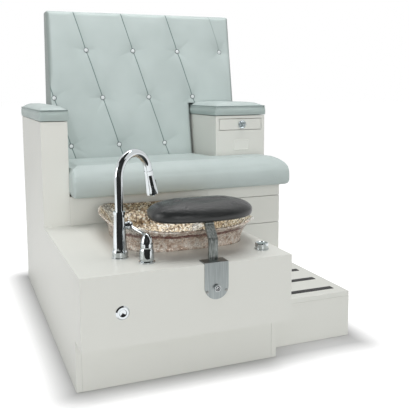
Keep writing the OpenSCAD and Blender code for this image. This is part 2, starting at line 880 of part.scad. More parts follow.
module spray_head() {
    color(chrome) at_dock() translate([0, 0, dock_len + slide_gap]) difference() {
        union() {
            rotate_extrude() polygon([
                [0, 0], [head_top_r, 0], [head_r, head_len - head_band], [head_r, head_len - head_edge],
                [head_r - head_edge, head_len], [0, head_len]]);
            translate([0, 0, -nipple_len]) cylinder(r = spout_bore_r - run_gap, h = nipple_len + join);
        }
        translate([0, 0, head_len - face_recess]) cylinder(r = face_r, h = face_recess + cut_over);
        toggle_block(slide_gap, toggle_seat - toggle_room, head_r + head_band);
    }
}

module spray_toggle() {
    color(rubber) at_dock() translate([0, 0, dock_len + slide_gap])
        toggle_block(0, toggle_seat, head_radius(toggle_start + toggle_len) + toggle_proud);
}

// The ball-shaped hub that turns on the body's side pin
module lever_hub() {
    color(chrome) at_faucet() translate([0, 0, lever_z]) difference() {
        intersection() {
            translate([hub_reach, 0, 0]) sphere(r = hub_r);
            translate([hub_face, -hub_r, -hub_r]) cube(2 * hub_r);
        }
        translate([hub_face - cut_over, 0, 0]) rotate([0, 90, 0])
            cylinder(r = hub_pin_r + run_gap, h = hub_reach - hub_face + cut_over + slide_gap);
    }
}

lever_turn = -60;
lever_dip = 106;
lever_root_r = 5.5;
lever_tip_r = 4;
lever_ball_r = 5;
lever_sink = 4;

module lever_handle() {
    color(chrome) at_faucet() translate([hub_reach, 0, lever_z]) difference() {
        rotate([0, 0, lever_turn]) rotate([0, lever_dip, 0]) {
            translate([0, 0, hub_r - lever_sink])
                cylinder(r1 = lever_root_r, r2 = lever_tip_r, h = lever_len - hub_r + lever_sink);
            translate([0, 0, lever_len]) sphere(r = lever_ball_r);
        }
        sphere(r = hub_r + soft_gap);
    }
}

supply_r = 4.7625;
supply_len = 120;
supply_spread = 8;

module supply_tails() {
    color(copper) at_faucet() for (s = [-1, 1])
        translate([s * supply_spread, 0, -shank_len - supply_len]) cylinder(r = supply_r, h = supply_len);
}

// Vacuum breaker

breaker_r = 24;
breaker_joint = 45;
// Turned outlines: offset from the radius, and height
breaker_outline = [
    [1.5, 0], [1.5, 4], [-3, 6], [-1, 14], [-2, breaker_joint - 6], [-5, breaker_joint]];
bonnet_outline = [[-1, 0], [0, 3], [0, 14], [-2, 16]];

module vacuum_breaker_body() {
    color(chrome) at_deck([breaker_x, breaker_y]) {
        rotate_extrude() polygon(concat(
            [[0, 0]], [for (p = breaker_outline) [breaker_r + p.x, p.y]], [[0, breaker_joint]]));
        translate([0, 0, -shank_len]) cylinder(r = shank_r, h = shank_len + join);
    }
}

module vacuum_breaker_bonnet() {
    r = breaker_r - 4;
    dome = [r + bonnet_outline[3].x, bonnet_outline[3].y];
    dome_h = breaker_h - breaker_joint - dome.y;
    color(chrome) at_deck([breaker_x, breaker_y]) translate([0, 0, breaker_joint])
        rotate_extrude() polygon(concat(
            [[0, 0]], [for (p = bonnet_outline) [r + p.x, p.y]],
            [for (i = [1 : arc_steps]) let (a = 90 * i / arc_steps)
                [dome.x * cos(a), dome.y + dome_h * sin(a)]]));
}

// Push button on the front panel

bezel_h = 5;
bezel_slope = 4;
bezel_rim = 1;
bezel_shank = 34;
push_r = 11.4;
push_len = 19;
push_sink = 2;
push_room = 1;
push_dish = 1.5;

module at_push() {
    cabinet() translate([push_x, 0, push_z]) rotate([-90, 0, 0]) children();
}

module air_button_bezel() {
    color(chrome) at_push() difference() {
        union() {
            rotate_extrude() translate([0, -bezel_h]) polygon([
                [0, 0], [bezel_d / 2 - bezel_slope, 0], [bezel_d / 2, bezel_h - bezel_rim],
                [bezel_d / 2, bezel_h], [0, bezel_h]]);
            cylinder(r = shank_r, h = bezel_shank);
        }
        translate([0, 0, -bezel_h - cut_over])
            cylinder(r = push_r + run_gap, h = cut_over + push_sink + push_len + push_travel + push_room);
    }
}

module air_button() {
    color(chrome) at_push() translate([0, 0, push_sink - bezel_h]) rotate_extrude() polygon([
        [0, push_dish], [push_r - 3 * push_dish, push_dish / 3], [push_r - push_dish, 0], [push_r, push_dish],
        [push_r, push_len], [0, push_len]]);
}

// Footrest on a flat bar that slides in its guide, clamped by a bolt

bar_room = 3;
bar_y = panel_t + bar_room + bar_t / 2;
guide_wall = 8;
guide_back = 6;
guide_drop = 100;
guide_depth = bar_y + bar_t / 2 + slide_gap + guide_back - panel_t;
bar_hold = 24;
bolt_drop = 4;
bolt_z = deck_h - bracket_drop + bracket_w / 2 - bolt_drop;
bar_drop = deck_h - bolt_z + rest_travel + bar_hold;
bolt_r = 4;
bolt_hole_r = 4.25;
bolt_head_r = 10;
bolt_head_h = 8;
bolt_socket_r = 4;
flange_tail = 11;
flange_d = bar_y + bar_t / 2 + flange_tail;
plate_t = 5;
plate_w = 110;
plate_d = 90;

module bar_slot(low, high) {
    translate([rest_x - bar_w / 2 - slide_gap, bar_y - bar_t / 2 - slide_gap, low])
        cube([bar_w + 2 * slide_gap, bar_t + 2 * slide_gap, high - low]);
}

module bolt_bore() {
    translate([rest_x, -2 * bolt_head_h, bolt_z]) rotate([-90, 0, 0])
        cylinder(r = bolt_hole_r, h = 2 * bolt_head_h + bar_y);
}

// An angle plate: round-ended on the front, with a flange on the deck
module footrest_bracket() {
    half = bracket_w / 2;
    top = deck_h + bracket_t;
    low = deck_h - bracket_drop + half;
    color(steel) cabinet() difference() {
        union() {
            board([rest_x - half, -bracket_t, low], [rest_x + half, 0, top]);
            translate([rest_x, -bracket_t, low]) rotate([-90, 0, 0]) cylinder(r = half, h = bracket_t);
            board([rest_x - half, -bracket_t, deck_h], [rest_x + half, flange_d, top]);
        }
        bar_slot(deck_h - cut_over, top + cut_over);
        bolt_bore();
    }
}

module footrest_clamp_bolt() {
    tip = bar_y - bar_t / 2 - soft_gap;
    color(chrome) cabinet() translate([rest_x, 0, bolt_z]) rotate([-90, 0, 0]) difference() {
        union() {
            translate([0, 0, -bracket_t - bolt_head_h]) cylinder(r = bolt_head_r, h = bolt_head_h);
            translate([0, 0, -bracket_t - join]) cylinder(r = bolt_r, h = bracket_t + join + tip);
        }
        translate([0, 0, -bracket_t - bolt_head_h - cut_over])
            cylinder(r = bolt_socket_r, h = bolt_head_h / 2 + cut_over, $fn = 6);
    }
}

module footrest_guide() {
    half = bar_w / 2 + guide_wall;
    color(steel) cabinet() difference() {
        board([rest_x - half, panel_t, deck_under - guide_drop],
            [rest_x + half, panel_t + guide_depth, deck_under]);
        bar_slot(deck_under - guide_drop - cut_over, deck_under + cut_over);
        bolt_bore();
    }
}

pad_low = deck_h + pad_h;
bend_z = deck_h + bend_h;
plate_low = pad_low - plate_t - soft_gap;
lean_y = bar_y + (plate_low - bend_z) * tan(bar_lean);
pad_setback = 85;
pad_y = lean_y + pad_setback;
bend_r = 8;
bend_c = [bar_y + bar_t / 2 + bend_r, bend_z - (bend_r + bar_t / 2) * tan(bar_lean / 2)];
post_top = plate_low + plate_t / 2;

// Where the leaning bar's line through a point ends inside the plate
function lean_to_plate(p) = p + [tan(bar_lean), 1] * (post_top - p.y);

// The flat bar with its leaning upper end, and a plate with a tongue that carries the pad
module footrest_post() {
    half = bar_w / 2;
    low = deck_h - bar_drop;
    outer = arc(bend_c, bend_r + bar_t, 180, 180 - bar_lean);
    inner = arc(bend_c, bend_r, 180 - bar_lean, 180);
    outline = concat(
        [[inner[arc_steps].x, low], [outer[0].x, low]], outer,
        [lean_to_plate(outer[arc_steps]), lean_to_plate(inner[0])], inner);
    color(steel) cabinet() {
        across(rest_x - half, rest_x + half) polygon(outline);
        translate([rest_x, pad_y, plate_low]) linear_extrude(plate_t) {
            polygon(rounded([-plate_w / 2, -plate_d / 2], [plate_w / 2, plate_d / 2], bar_t, bar_t));
            translate([-half, -pad_setback - bar_t]) square([bar_w, pad_setback]);
        }
    }
}

pad_points = 56;
// Roundness of the pad in plan, of its crown and of its lower edge, 2 is an ellipse
pad_power = 2.6;
pad_crown = 2;
pad_bulge = 3;
// Share of the pad's thickness below its widest line
pad_belly = 0.38;
// Share of the pad's depth that the crown rounds off
pad_round = 0.9;
pad_levels = 6;
// Distance of the pad's middle from the bar's
pad_shift = 6;

// How far a rounded edge is turned in at a height, 0 at the widest line and 1 at the end of the rounding
function turned_in(h, round) = 1 - pow(1 - pow(abs(h), round), 1 / round);

// One ring of the footrest pad, at a height from -1 at its underside to 1 at its top
function pad_ring(h) =
    let (inset = h < 0 ? pad_belly * pad_t * turned_in(h, pad_bulge)
            : pad_round * pad_d / 2 * turned_in(h, pad_crown),
        z = pad_low + pad_t * (pad_belly + h * (h < 0 ? pad_belly : 1 - pad_belly)))
    [for (i = [0 : pad_points - 1]) let (t = 360 * i / pad_points,
        p = super_point(pad_len / 2 - inset, pad_d / 2 - inset, pad_power, t)) [p.x, p.y, z]];

module footrest_pad() {
    heights = [for (i = [0 : 2 * pad_levels]) sin(90 * (i / pad_levels - 1))];
    color(black_vinyl) cabinet() translate([rest_x + pad_shift, pad_y, 0])
        loft([for (h = heights) pad_ring(h)]);
}

// Drawers on steel runners

arm_drawer_x1 = (right_arm_x + seat_w - arm_drawer_w) / 2;
arm_drawer_x2 = arm_drawer_x1 + arm_drawer_w;
arm_drawer_z2 = arm_h - arm_drawer_drop;
arm_drawer_z1 = arm_drawer_z2 - arm_drawer_h;
arm_drawer_d = rear_inner_y - right_arm_y - panel_t - arm_drawer_gap;
box_wall = 12;
box_floor = 6;
runner_t = 2;
runner_w = 20;
runner_h = 30;
runner_gap = 1;
box_clear = 8;

// An open box behind a drawer front
module drawer_box(x1, x2, y, depth, z1, z2) {
    color(birch) cabinet() difference() {
        board([x1, y, z1], [x2, y + depth, z2]);
        board([x1 + box_wall, y + box_wall, z1 + box_floor],
            [x2 - box_wall, y + depth - box_wall, z2 + cut_over]);
    }
}

// Two angle runners on the walls beside a drawer box, their ledges under it
module runner_pair(x1, x2, y, depth, z, h) {
    board([x1, y, z - runner_t], [x1 + runner_t, y + depth, z + h]);
    board([x1, y, z - runner_t], [x1 + runner_w, y + depth, z]);
    board([x2 - runner_t, y, z - runner_t], [x2, y + depth, z + h]);
    board([x2 - runner_w, y, z - runner_t], [x2, y + depth, z]);
}

side_bay_x1 = foot_w + panel_t;
side_box_inset = runner_t + runner_gap;
lower_z1 = step_h + reveal;
lower_z2 = drawer_split - reveal / 2;
upper_z1 = drawer_split + reveal / 2;
upper_z2 = drawer_top - reveal / 2;

module side_drawer_front(z1, z2) {
    color(laminate) cabinet() board([foot_w + reveal, foot_d, z1], [seat_w, seat_inner_y, z2]);
}

module side_drawer_box(z1, z2) {
    drawer_box(side_bay_x1 + side_box_inset, right_inner_x - side_box_inset, seat_inner_y, drawer_d,
        z1 + box_clear, z2 - box_clear);
}

module upper_drawer_front() {
    side_drawer_front(upper_z1, upper_z2);
}

module upper_drawer_box() {
    side_drawer_box(upper_z1, upper_z2);
}

module lower_drawer_front() {
    side_drawer_front(lower_z1, lower_z2);
}

module lower_drawer_box() {
    side_drawer_box(lower_z1, lower_z2);
}

arm_bay_x1 = right_arm_x + panel_t;
arm_box_inset = runner_t + runner_gap;
arm_box_z1 = arm_drawer_z1 + runner_t + runner_gap;
arm_runner_h = 12;

module arm_drawer_front() {
    color(laminate) cabinet()
        board([arm_drawer_x1, right_arm_y, arm_drawer_z1],
            [arm_drawer_x2, right_arm_y + panel_t, arm_drawer_z2]);
}

module arm_drawer_box() {
    drawer_box(arm_bay_x1 + arm_box_inset, right_inner_x - arm_box_inset, right_arm_y + panel_t, arm_drawer_d,
        arm_box_z1, arm_drawer_z2 - runner_t);
}

module side_drawer_runners() {
    color(steel) cabinet() for (z = [upper_z1, lower_z1])
        runner_pair(side_bay_x1, right_inner_x, seat_inner_y, drawer_d, z + box_clear - soft_gap, runner_h);
}

module arm_drawer_runners() {
    color(steel) cabinet()
        runner_pair(arm_bay_x1, right_inner_x, right_arm_y + panel_t, arm_drawer_d,
            arm_box_z1 - soft_gap, arm_runner_h);
}

crystal_stem_r = 6;
crystal_stem = 10;
crystal_sides = 10;
// The knob's turned outline, in radii
crystal_outline = [[0, 0], [0.45, 0], [1, 0.4], [1, 0.6], [0.6, 1], [0, 1.05]];

// A cut crystal knob: ten flat sides with a sloped crown
module arm_drawer_knob() {
    x = (arm_drawer_x1 + arm_drawer_x2) / 2;
    z = (arm_drawer_z1 + arm_drawer_z2) / 2;
    color(crystal) cabinet() translate([x, right_arm_y, z]) rotate([90, 0, 0]) {
        cylinder(r = crystal_stem_r, h = crystal_stem + join);
        translate([0, 0, crystal_stem]) rotate_extrude($fn = crystal_sides)
            polygon(crystal_outline * crystal_d / 2);
    }
}

left_side_panel();
foot_front_panel();
foot_right_panel();
toe_kick();
deck_top();
seat_front_panel();
seat_front_rails();
drawer_partition();
right_side_panel();
rear_panel();
seat_board();
left_arm_front();
left_arm_inner_panel();
right_arm_front();
right_arm_inner_panel();
step_front();
step_side();
step_top();
step_treads();
seat_cushion();
back_board();
back_cushion();
tuft_buttons();
left_arm_pad();
right_arm_pad();
glass_bowl();
drain_body();
drain_nut();
drain_tailpiece();
drain_stopper();
drain_knob_base();
drain_knob();
mounting_nuts();
faucet_base();
faucet_body();
faucet_spout();
spray_dock();
spray_head();
spray_toggle();
lever_hub();
lever_handle();
supply_tails();
vacuum_breaker_body();
vacuum_breaker_bonnet();
air_button_bezel();
air_button();
footrest_bracket();
footrest_clamp_bolt();
footrest_guide();
footrest_post();
footrest_pad();
arm_drawer_front();
arm_drawer_box();
arm_drawer_knob();
upper_drawer_front();
upper_drawer_box();
lower_drawer_front();
lower_drawer_box();
side_drawer_runners();
arm_drawer_runners();
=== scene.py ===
"""Looks of a pedicure spa bench: vinyl, art glass, chrome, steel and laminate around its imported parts."""
import math

import bmesh
import bpy
import numpy as np
from mathutils import Matrix


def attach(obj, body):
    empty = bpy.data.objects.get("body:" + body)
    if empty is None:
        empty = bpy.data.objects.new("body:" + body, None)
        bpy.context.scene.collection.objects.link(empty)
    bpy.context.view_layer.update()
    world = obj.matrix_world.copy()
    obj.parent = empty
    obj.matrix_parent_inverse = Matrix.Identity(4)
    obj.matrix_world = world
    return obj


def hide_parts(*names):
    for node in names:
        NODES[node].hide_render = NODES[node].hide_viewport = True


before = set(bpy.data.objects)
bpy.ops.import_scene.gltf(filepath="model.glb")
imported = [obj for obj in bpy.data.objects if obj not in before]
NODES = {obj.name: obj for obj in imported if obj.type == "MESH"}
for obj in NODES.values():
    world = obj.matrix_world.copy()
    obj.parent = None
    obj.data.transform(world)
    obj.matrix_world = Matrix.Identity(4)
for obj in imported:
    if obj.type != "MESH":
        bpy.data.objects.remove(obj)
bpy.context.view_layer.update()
SCENE = bpy.context.scene
SCENE.view_settings.view_transform = "Standard"

# Sizes that the pieces share with the solids, in millimetres from the cabinet's left side, front and floor
SEAT_W, TOTAL_D = 1024.0, 1323.0
SEAT_H, ARM_H, ARM_PAD_TOP, BACK_TOP = 492.0, 784.0, 837.0, 1262.0
BACK_X, FLAP_T, FLAP_REAR, FLAP_LEAST, FLAP_LEAN = (108.0, 1012.0), 21.0, 1304.0, 3.0, 0.22
BACK_AT_ARM, BACK_T, RECLINE = 1133.0, 54.0, math.radians(9.3)
TUFT_X, TUFT_Z, TUFT_PITCH, TUFT_ROW, TUFT_SHIFT = 283.0, 1087.0, 224.0, 218.0, 65.0
TUFT_MARGIN = 14.0
BACK_EDGE, NOTCH_LOW, NOTCH_TOP, BACK_OVER = 10.0, 3.5, 7.0, 837.3
BOWL_X, BOWL_Y, BOWL_W, BOWL_D = 417.0, 389.0, 494.0, 544.0
BOWL_LOW, BOWL_H, BOWL_DROP, BOWL_TAPER = 300.0, 152.0, 80.0, 76.0
RIM_SIDE, RIM_FRONT, RIM_CURL, RIM_LIFT = 34.0, 58.0, 2.2, 13.0
BOWL_POWER, GLASS_T = 3.8, 9.0
FOOT_ROUND, FOOT_ROUND_END, DRAIN_R = 20.0, 0.16, 23.9
PAD_X, PAD_Y, PAD_LOW, PAD_LEN, PAD_D, PAD_T = 422.0, 141.7, 495.0, 345.0, 204.0, 59.0
PAD_POWER, PAD_CROWN, PAD_BULGE, PAD_BELLY, PAD_ROUND = 2.6, 2.0, 3.0, 0.38, 0.9
REST_X, BRACKET_FRONT, SCREW_SPREAD, SCREW_Z = 416.0, -4.0, 31.5, 294.0
BOLT_FRONT, BOLT_Z = -12.0, 304.0
RIGHT_ARM_X, ARM_FRONT_Y, PLATE_X, PLATE_Z = 782.0, 827.0, (866.0, 945.0), (628.0, 676.0)


def placed(points):
    """Cabinet millimetres to the part's metres: x and y from the middle of the cabinet, z from the floor."""
    return (np.asarray(points, float) - [SEAT_W / 2, TOTAL_D / 2, 0.0]) / 1000.0


def cabinet_points(mesh):
    """A mesh's points back in cabinet millimetres."""
    return points_of(mesh) * 1000.0 + [SEAT_W / 2, TOTAL_D / 2, 0.0]


def back_front(z):
    """The back's front plane: its depth grows with the height by the tangent of the recline."""
    return BACK_AT_ARM + (z - ARM_PAD_TOP) * math.tan(RECLINE)


# Meshes

MERGE = 1e-5
OFF_AXIS = [0.31, 0.47, 0.83]


def points_of(mesh):
    """All vertex positions as one array."""
    flat = np.empty(len(mesh.vertices) * 3)
    mesh.vertices.foreach_get("co", flat)
    return flat.reshape(-1, 3)


def normals_of(mesh):
    """All vertex normals as one array."""
    flat = np.empty(len(mesh.vertices) * 3)
    mesh.vertex_normals.foreach_get("vector", flat)
    return flat.reshape(-1, 3)


def move_points(mesh, points):
    """Puts all vertices at new positions."""
    mesh.vertices.foreach_set("co", np.ascontiguousarray(points, float).ravel())
    mesh.update()


def round_off(mesh):
    """Shades every face smoothly."""
    mesh.polygons.foreach_set("use_smooth", np.ones(len(mesh.polygons), bool))
    mesh.update()


def paint_points(mesh, name, values):
    """Keeps one number per vertex as a named attribute for the finish to read."""
    layer = mesh.attributes.new(name, "FLOAT", "POINT")
    layer.data.foreach_set("value", np.ascontiguousarray(values, float))


def piece_from(name, mesh, finish, body="cabinet"):
    """A new piece at the origin that rides on a body and takes one finish."""
    piece = bpy.data.objects.new(name, mesh)
    SCENE.collection.objects.link(piece)
    mesh.materials.clear()
    mesh.materials.append(finish)
    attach(piece, body)
    return piece


def skin(name, rings, ends=True, uv=None):
    """Joins rings of points, each a closed loop, in order: quads between neighbours, one face at each end.

    The faces are turned round where the signed volume, a sum of their corner products, is negative."""
    n, m = rings.shape[:2]
    i = np.arange(n - 1)[:, None]
    j = np.arange(m)[None, :]
    k = (j + 1) % m
    quads = np.stack([i * m + j, i * m + k, (i + 1) * m + k, (i + 1) * m + j], -1).reshape(-1, 4)
    p = rings.reshape(-1, 3)
    a, b, c, d = (p[quads[:, q]] - p.mean(0) for q in range(4))
    volume = (np.cross(a, b) * c).sum() + (np.cross(a, c) * d).sum()
    faces = quads.tolist()
    if ends:
        faces += [list(range(m))[::-1], list(range((n - 1) * m, n * m))]
    if volume < 0:
        faces = [f[::-1] for f in faces]
    mesh = bpy.data.meshes.new(name)
    mesh.from_pydata(p.tolist(), [], faces)
    if uv is not None:
        layer = mesh.uv_layers.new(name="wall")
        corner = np.empty(len(mesh.loops), int)
        mesh.loops.foreach_get("vertex_index", corner)
        layer.data.foreach_set("uv", uv.reshape(-1, 2)[corner].ravel())
    round_off(mesh)
    return mesh


def turned(name, outline, centre, axis, steps=48, hollow=False):
    """An outline of (radius, height) points turned about an axis, a unit vector, through a centre.

    A hollow one is a ring: its outline is a closed loop that doesn't reach the axis."""
    axis = np.asarray(axis, float)
    side = np.cross(axis, OFF_AXIS)
    side /= np.linalg.norm(side)
    other = np.cross(axis, side)
    t = np.linspace(0, 2 * np.pi, steps, endpoint=False)
    spoke = np.cos(t)[:, None] * side + np.sin(t)[:, None] * other
    outline = np.asarray(outline, float)
    if hollow:
        outline = np.concatenate([outline, outline[:1]])
    rings = outline[:, 0, None, None] * spoke + outline[:, 1, None, None] * axis + centre
    mesh = skin(name, placed(rings), ends=not hollow)
    if hollow:
        weld(mesh)
    return mesh


def tube(name, path, radius, sides=10):
    """A round cord of one radius along a closed path: circles across the path's direction at each point."""
    path = np.asarray(path, float)
    ahead = np.roll(path, -1, 0) - np.roll(path, 1, 0)
    ahead /= np.linalg.norm(ahead, axis=1)[:, None]
    up = np.array([0.0, 0.0, 1.0])
    side = np.cross(ahead, up)
    side /= np.linalg.norm(side, axis=1)[:, None]
    lift = np.cross(side, ahead)
    t = np.linspace(0, 2 * np.pi, sides, endpoint=False)
    around = np.cos(t)[None, :, None] * side[:, None] + np.sin(t)[None, :, None] * lift[:, None]
    rings = path[:, None] + radius * around
    rings = np.concatenate([rings, rings[:1]])
    mesh = skin(name, placed(rings), ends=False)
    weld(mesh)
    return mesh


def weld(mesh):
    """Merges the points that lie on each other."""
    shape = bmesh.new()
    shape.from_mesh(mesh)
    bmesh.ops.remove_doubles(shape, verts=shape.verts, dist=MERGE)
    shape.to_mesh(mesh)
    shape.free()
    mesh.update()


def with_modifier(mesh, kind, **settings):
    """The mesh as one modifier leaves it."""
    holder = bpy.data.objects.new("holder", mesh)
    SCENE.collection.objects.link(holder)
    modifier = holder.modifiers.new(kind, kind)
    for key, value in settings.items():
        setattr(modifier, key, value)
    graph = bpy.context.evaluated_depsgraph_get()
    made = bpy.data.meshes.new_from_object(holder.evaluated_get(graph))
    bpy.data.objects.remove(holder)
    return made


def foam_block(node, voxel):
    """A soft solid's own mesh, merged and remeshed to an even grid of small faces."""
    mesh = NODES[node].data.copy()
    weld(mesh)
    return with_modifier(mesh, "REMESH", mode="VOXEL", voxel_size=voxel)


FOAM_FRAMES, FOAM_PRESSURE, FOAM_QUALITY = 8, 8.0, 3


def puff(mesh, held, cap):
    """Blows a skin up with cloth pressure while the held points stay; the cap limits each point's move."""
    start = points_of(mesh)
    blown = bpy.data.objects.new("blown", mesh)
    SCENE.collection.objects.link(blown)
    pins = blown.vertex_groups.new(name="held")
    pins.add(np.flatnonzero(held).tolist(), 1.0, "REPLACE")
    cloth = blown.modifiers.new("cloth", "CLOTH")
    cloth.settings.quality = FOAM_QUALITY
    cloth.settings.use_pressure = True
    cloth.settings.uniform_pressure_force = FOAM_PRESSURE
    cloth.settings.vertex_group_mass = "held"
    cloth.settings.effector_weights.gravity = 0
    cloth.collision_settings.use_collision = False
    cloth.point_cache.frame_end = FOAM_FRAMES
    for step in range(1, FOAM_FRAMES + 1):
        SCENE.frame_set(step)
    graph = bpy.context.evaluated_depsgraph_get()
    shape = blown.evaluated_get(graph).to_mesh()
    moved = points_of(shape) - start
    SCENE.frame_set(1)
    bpy.data.objects.remove(blown)
    far = np.linalg.norm(moved, axis=1, keepdims=True)
    move_points(mesh, start + moved * np.minimum(1.0, cap / np.maximum(far, 1e-9)))


# Finishes

def put(tree, kind, inputs=None, **settings):
    """Adds a node to a tree, sets its settings, and links or sets its inputs by name."""
    node = tree.nodes.new("ShaderNode" + kind)
    for key, value in settings.items():
        setattr(node, key, value)
    for key, value in (inputs or {}).items():
        if isinstance(value, bpy.types.NodeSocket):
            tree.links.new(value, node.inputs[key])
        else:
            node.inputs[key].default_value = value
    return node


def blend_colours(tree, share, first, second):
    """Goes from the first colour to the second by a share from 0 to 1."""
    return put(tree, "Mix", {0: share, 6: first, 7: second}, data_type="RGBA").outputs[2]


def stepped(tree, value, *stops):
    """A colour ramp through (place, colour) stops."""
    node = put(tree, "ValToRGB", {"Fac": value})
    ramp = node.color_ramp
    while len(ramp.elements) < len(stops):
        ramp.elements.new(0.5)
    for element, (place, colour) in zip(ramp.elements, stops):
        element.position = place
        element.color = colour
    return node.outputs["Color"]


def group(name, inputs, outputs):
    """An empty node group with float or vector inputs and float outputs."""
    tree = bpy.data.node_groups.new(name, "ShaderNodeTree")
    for key, default in inputs.items():
        kind = "NodeSocketVector" if default is None else "NodeSocketFloat"
        socket = tree.interface.new_socket(key, in_out="INPUT", socket_type=kind)
        if default is not None:
            socket.default_value = default
    for key in outputs:
        tree.interface.new_socket(key, in_out="OUTPUT", socket_type="NodeSocketFloat")
    return tree, tree.nodes.new("NodeGroupInput"), tree.nodes.new("NodeGroupOutput")


def wipe_marks():
    """Cloudy change of gloss where a cloth has wiped: noise mapped between two values."""
    values = {"Vector": None, "Scale": 12.0, "Low": 0.1, "High": 0.2}
    tree, inside, outside = group("wipe_marks", values, ["Gloss"])
    cloud = put(tree, "TexNoise", {"Vector": inside.outputs["Vector"], "Scale": inside.outputs["Scale"],
                                   "Detail": 4.0, "Roughness": 0.6})
    level = put(tree, "MapRange", {"Value": cloud.outputs["Fac"], "From Min": 0.3, "From Max": 0.7,
                                   "To Min": inside.outputs["Low"], "To Max": inside.outputs["High"]})
    tree.links.new(level.outputs["Result"], outside.inputs["Gloss"])
    return tree


def hide_grain():
    """Embossed vinyl grain: cells with soft edges, broken by fine noise, on slow waves that also shade."""
    values = {"Vector": None, "Cells": 700.0, "Waves": 6.0}
    tree, inside, outside = group("hide_grain", values, ["Height", "Shade"])
    vector = inside.outputs["Vector"]
    cell = put(tree, "TexVoronoi", {"Vector": vector, "Scale": inside.outputs["Cells"]},
               feature="DISTANCE_TO_EDGE")
    valley = put(tree, "MapRange", {"Value": cell.outputs["Distance"], "From Min": 0.0, "From Max": 0.25})
    fine = put(tree, "TexNoise", {"Vector": vector, "Scale": 1500.0, "Detail": 2.0})
    grain = put(tree, "Math", {0: valley.outputs["Result"], 1: fine.outputs["Fac"]}, operation="ADD")
    cloud = put(tree, "TexNoise", {"Vector": vector, "Scale": 7.0, "Detail": 2.0})
    waves = {0: cloud.outputs["Fac"], 1: inside.outputs["Waves"], 2: grain.outputs["Value"]}
    height = put(tree, "Math", waves, operation="MULTIPLY_ADD")
    tree.links.new(height.outputs["Value"], outside.inputs["Height"])
    tree.links.new(cloud.outputs["Fac"], outside.inputs["Shade"])
    return tree


SEAM_RATE = (1000 / TUFT_PITCH, 0.0, 1000 * TUFT_SHIFT / (TUFT_ROW * TUFT_PITCH))
SEAM_START = (SEAT_W / 2 - TUFT_X - TUFT_SHIFT * TUFT_Z / TUFT_ROW) / TUFT_PITCH
SEAM_WAVER, SEAM_CORE, SEAM_EDGE = 0.02, 0.8, 3.6


def seam_shade_lines():
    """Thin lines of painted shade in the back's diagonal seam creases: 1 on a seam, falling to 0 within a
    few millimetres.

    The place between seams is linear in x and z with a slow waver, and what counts is how far it is from a
    whole number."""
    tree, inside, outside = group("seam_shade_lines", {"Vector": None}, ["Line"])
    vector = inside.outputs["Vector"]
    across = put(tree, "VectorMath", {0: vector, 1: SEAM_RATE}, operation="DOT_PRODUCT").outputs["Value"]
    waver = put(tree, "TexNoise", {"Vector": vector, "Scale": 9.0, "Detail": 1.0}).outputs["Fac"]
    start = put(tree, "Math", {0: waver, 1: SEAM_WAVER, 2: SEAM_START - SEAM_WAVER / 2},
                operation="MULTIPLY_ADD")
    place = put(tree, "Math", {0: across, 1: start.outputs["Value"]}, operation="ADD")
    gap = put(tree, "Math", {0: place.outputs["Value"], 1: 0.5}, operation="PINGPONG")
    line = put(tree, "MapRange", {"Value": gap.outputs["Value"], "From Min": SEAM_CORE / TUFT_PITCH,
                                  "From Max": SEAM_EDGE / TUFT_PITCH, "To Min": 1.0, "To Max": 0.0},
               interpolation_type="SMOOTHSTEP")
    tree.links.new(line.outputs["Result"], outside.inputs["Line"])
    return tree


WIPE_MARKS = wipe_marks()
HIDE_GRAIN = hide_grain()
SEAM_SHADE_LINES = seam_shade_lines()


def finish_start(name, **plain):
    """A material with one shader; plain values go straight to the shader's own sockets."""
    material = bpy.data.materials.new(name)
    material.use_nodes = True
    tree = material.node_tree
    tree.nodes.clear()
    out = put(tree, "OutputMaterial")
    shader = put(tree, "BsdfPrincipled")
    for key, value in plain.items():
        shader.inputs[key.replace("_", " ").title().replace("Ior", "IOR")].default_value = value
    tree.links.new(shader.outputs["BSDF"], out.inputs["Surface"])
    where = put(tree, "TexCoord").outputs["Object"]
    return material, tree, shader, where


def use_group(tree, shared, **inputs):
    """Places a shared group with its own values."""
    node = tree.nodes.new("ShaderNodeGroup")
    node.node_tree = shared
    for key, value in inputs.items():
        if isinstance(value, bpy.types.NodeSocket):
            tree.links.new(value, node.inputs[key])
        else:
            node.inputs[key].default_value = value
    return node.outputs


def raise_bump(tree, shader, height, distance, strength=1.0):
    """Feeds a height to the shader's normal."""
    bump = put(tree, "Bump", {"Height": height, "Distance": distance, "Strength": strength})
    tree.links.new(bump.outputs["Normal"], shader.inputs["Normal"])


def vinyl(name, dark, light, gloss, cells, depth, side_shade=None, seam=None, shine=0.3):
    """Upholstery vinyl: embossed grain, a slow shade between two colours, wiped gloss.

    The side shade colour goes where the mesh says that the cover turns down, as painted shade on the sides;
    a seam colour goes along the seams, as painted shade in their creases."""
    material, tree, shader, where = finish_start(name, specular_ior_level=shine)
    grain = use_group(tree, HIDE_GRAIN, Vector=where, Cells=cells)
    colour = stepped(tree, grain["Shade"], (0.3, dark), (0.7, light))
    # Painted shade: where the cover turns down to the sides it takes a darker colour.
    if side_shade:
        side = put(tree, "Attribute", attribute_name="side_shade_share").outputs["Fac"]
        colour = blend_colours(tree, side, colour, side_shade)
    # Painted shade: a darker colour along the seam creases of the front.
    if seam:
        line = use_group(tree, SEAM_SHADE_LINES, Vector=where)["Line"]
        front = put(tree, "Attribute", attribute_name="front").outputs["Fac"]
        share = put(tree, "Math", {0: line, 1: front}, operation="MULTIPLY").outputs["Value"]
        colour = blend_colours(tree, share, colour, seam)
    tree.links.new(colour, shader.inputs["Base Color"])
    wiped = use_group(tree, WIPE_MARKS, Vector=where, Scale=9.0, Low=gloss[0], High=gloss[1])
    tree.links.new(wiped["Gloss"], shader.inputs["Roughness"])
    raise_bump(tree, shader, grain["Height"], depth, 0.5)
    return material


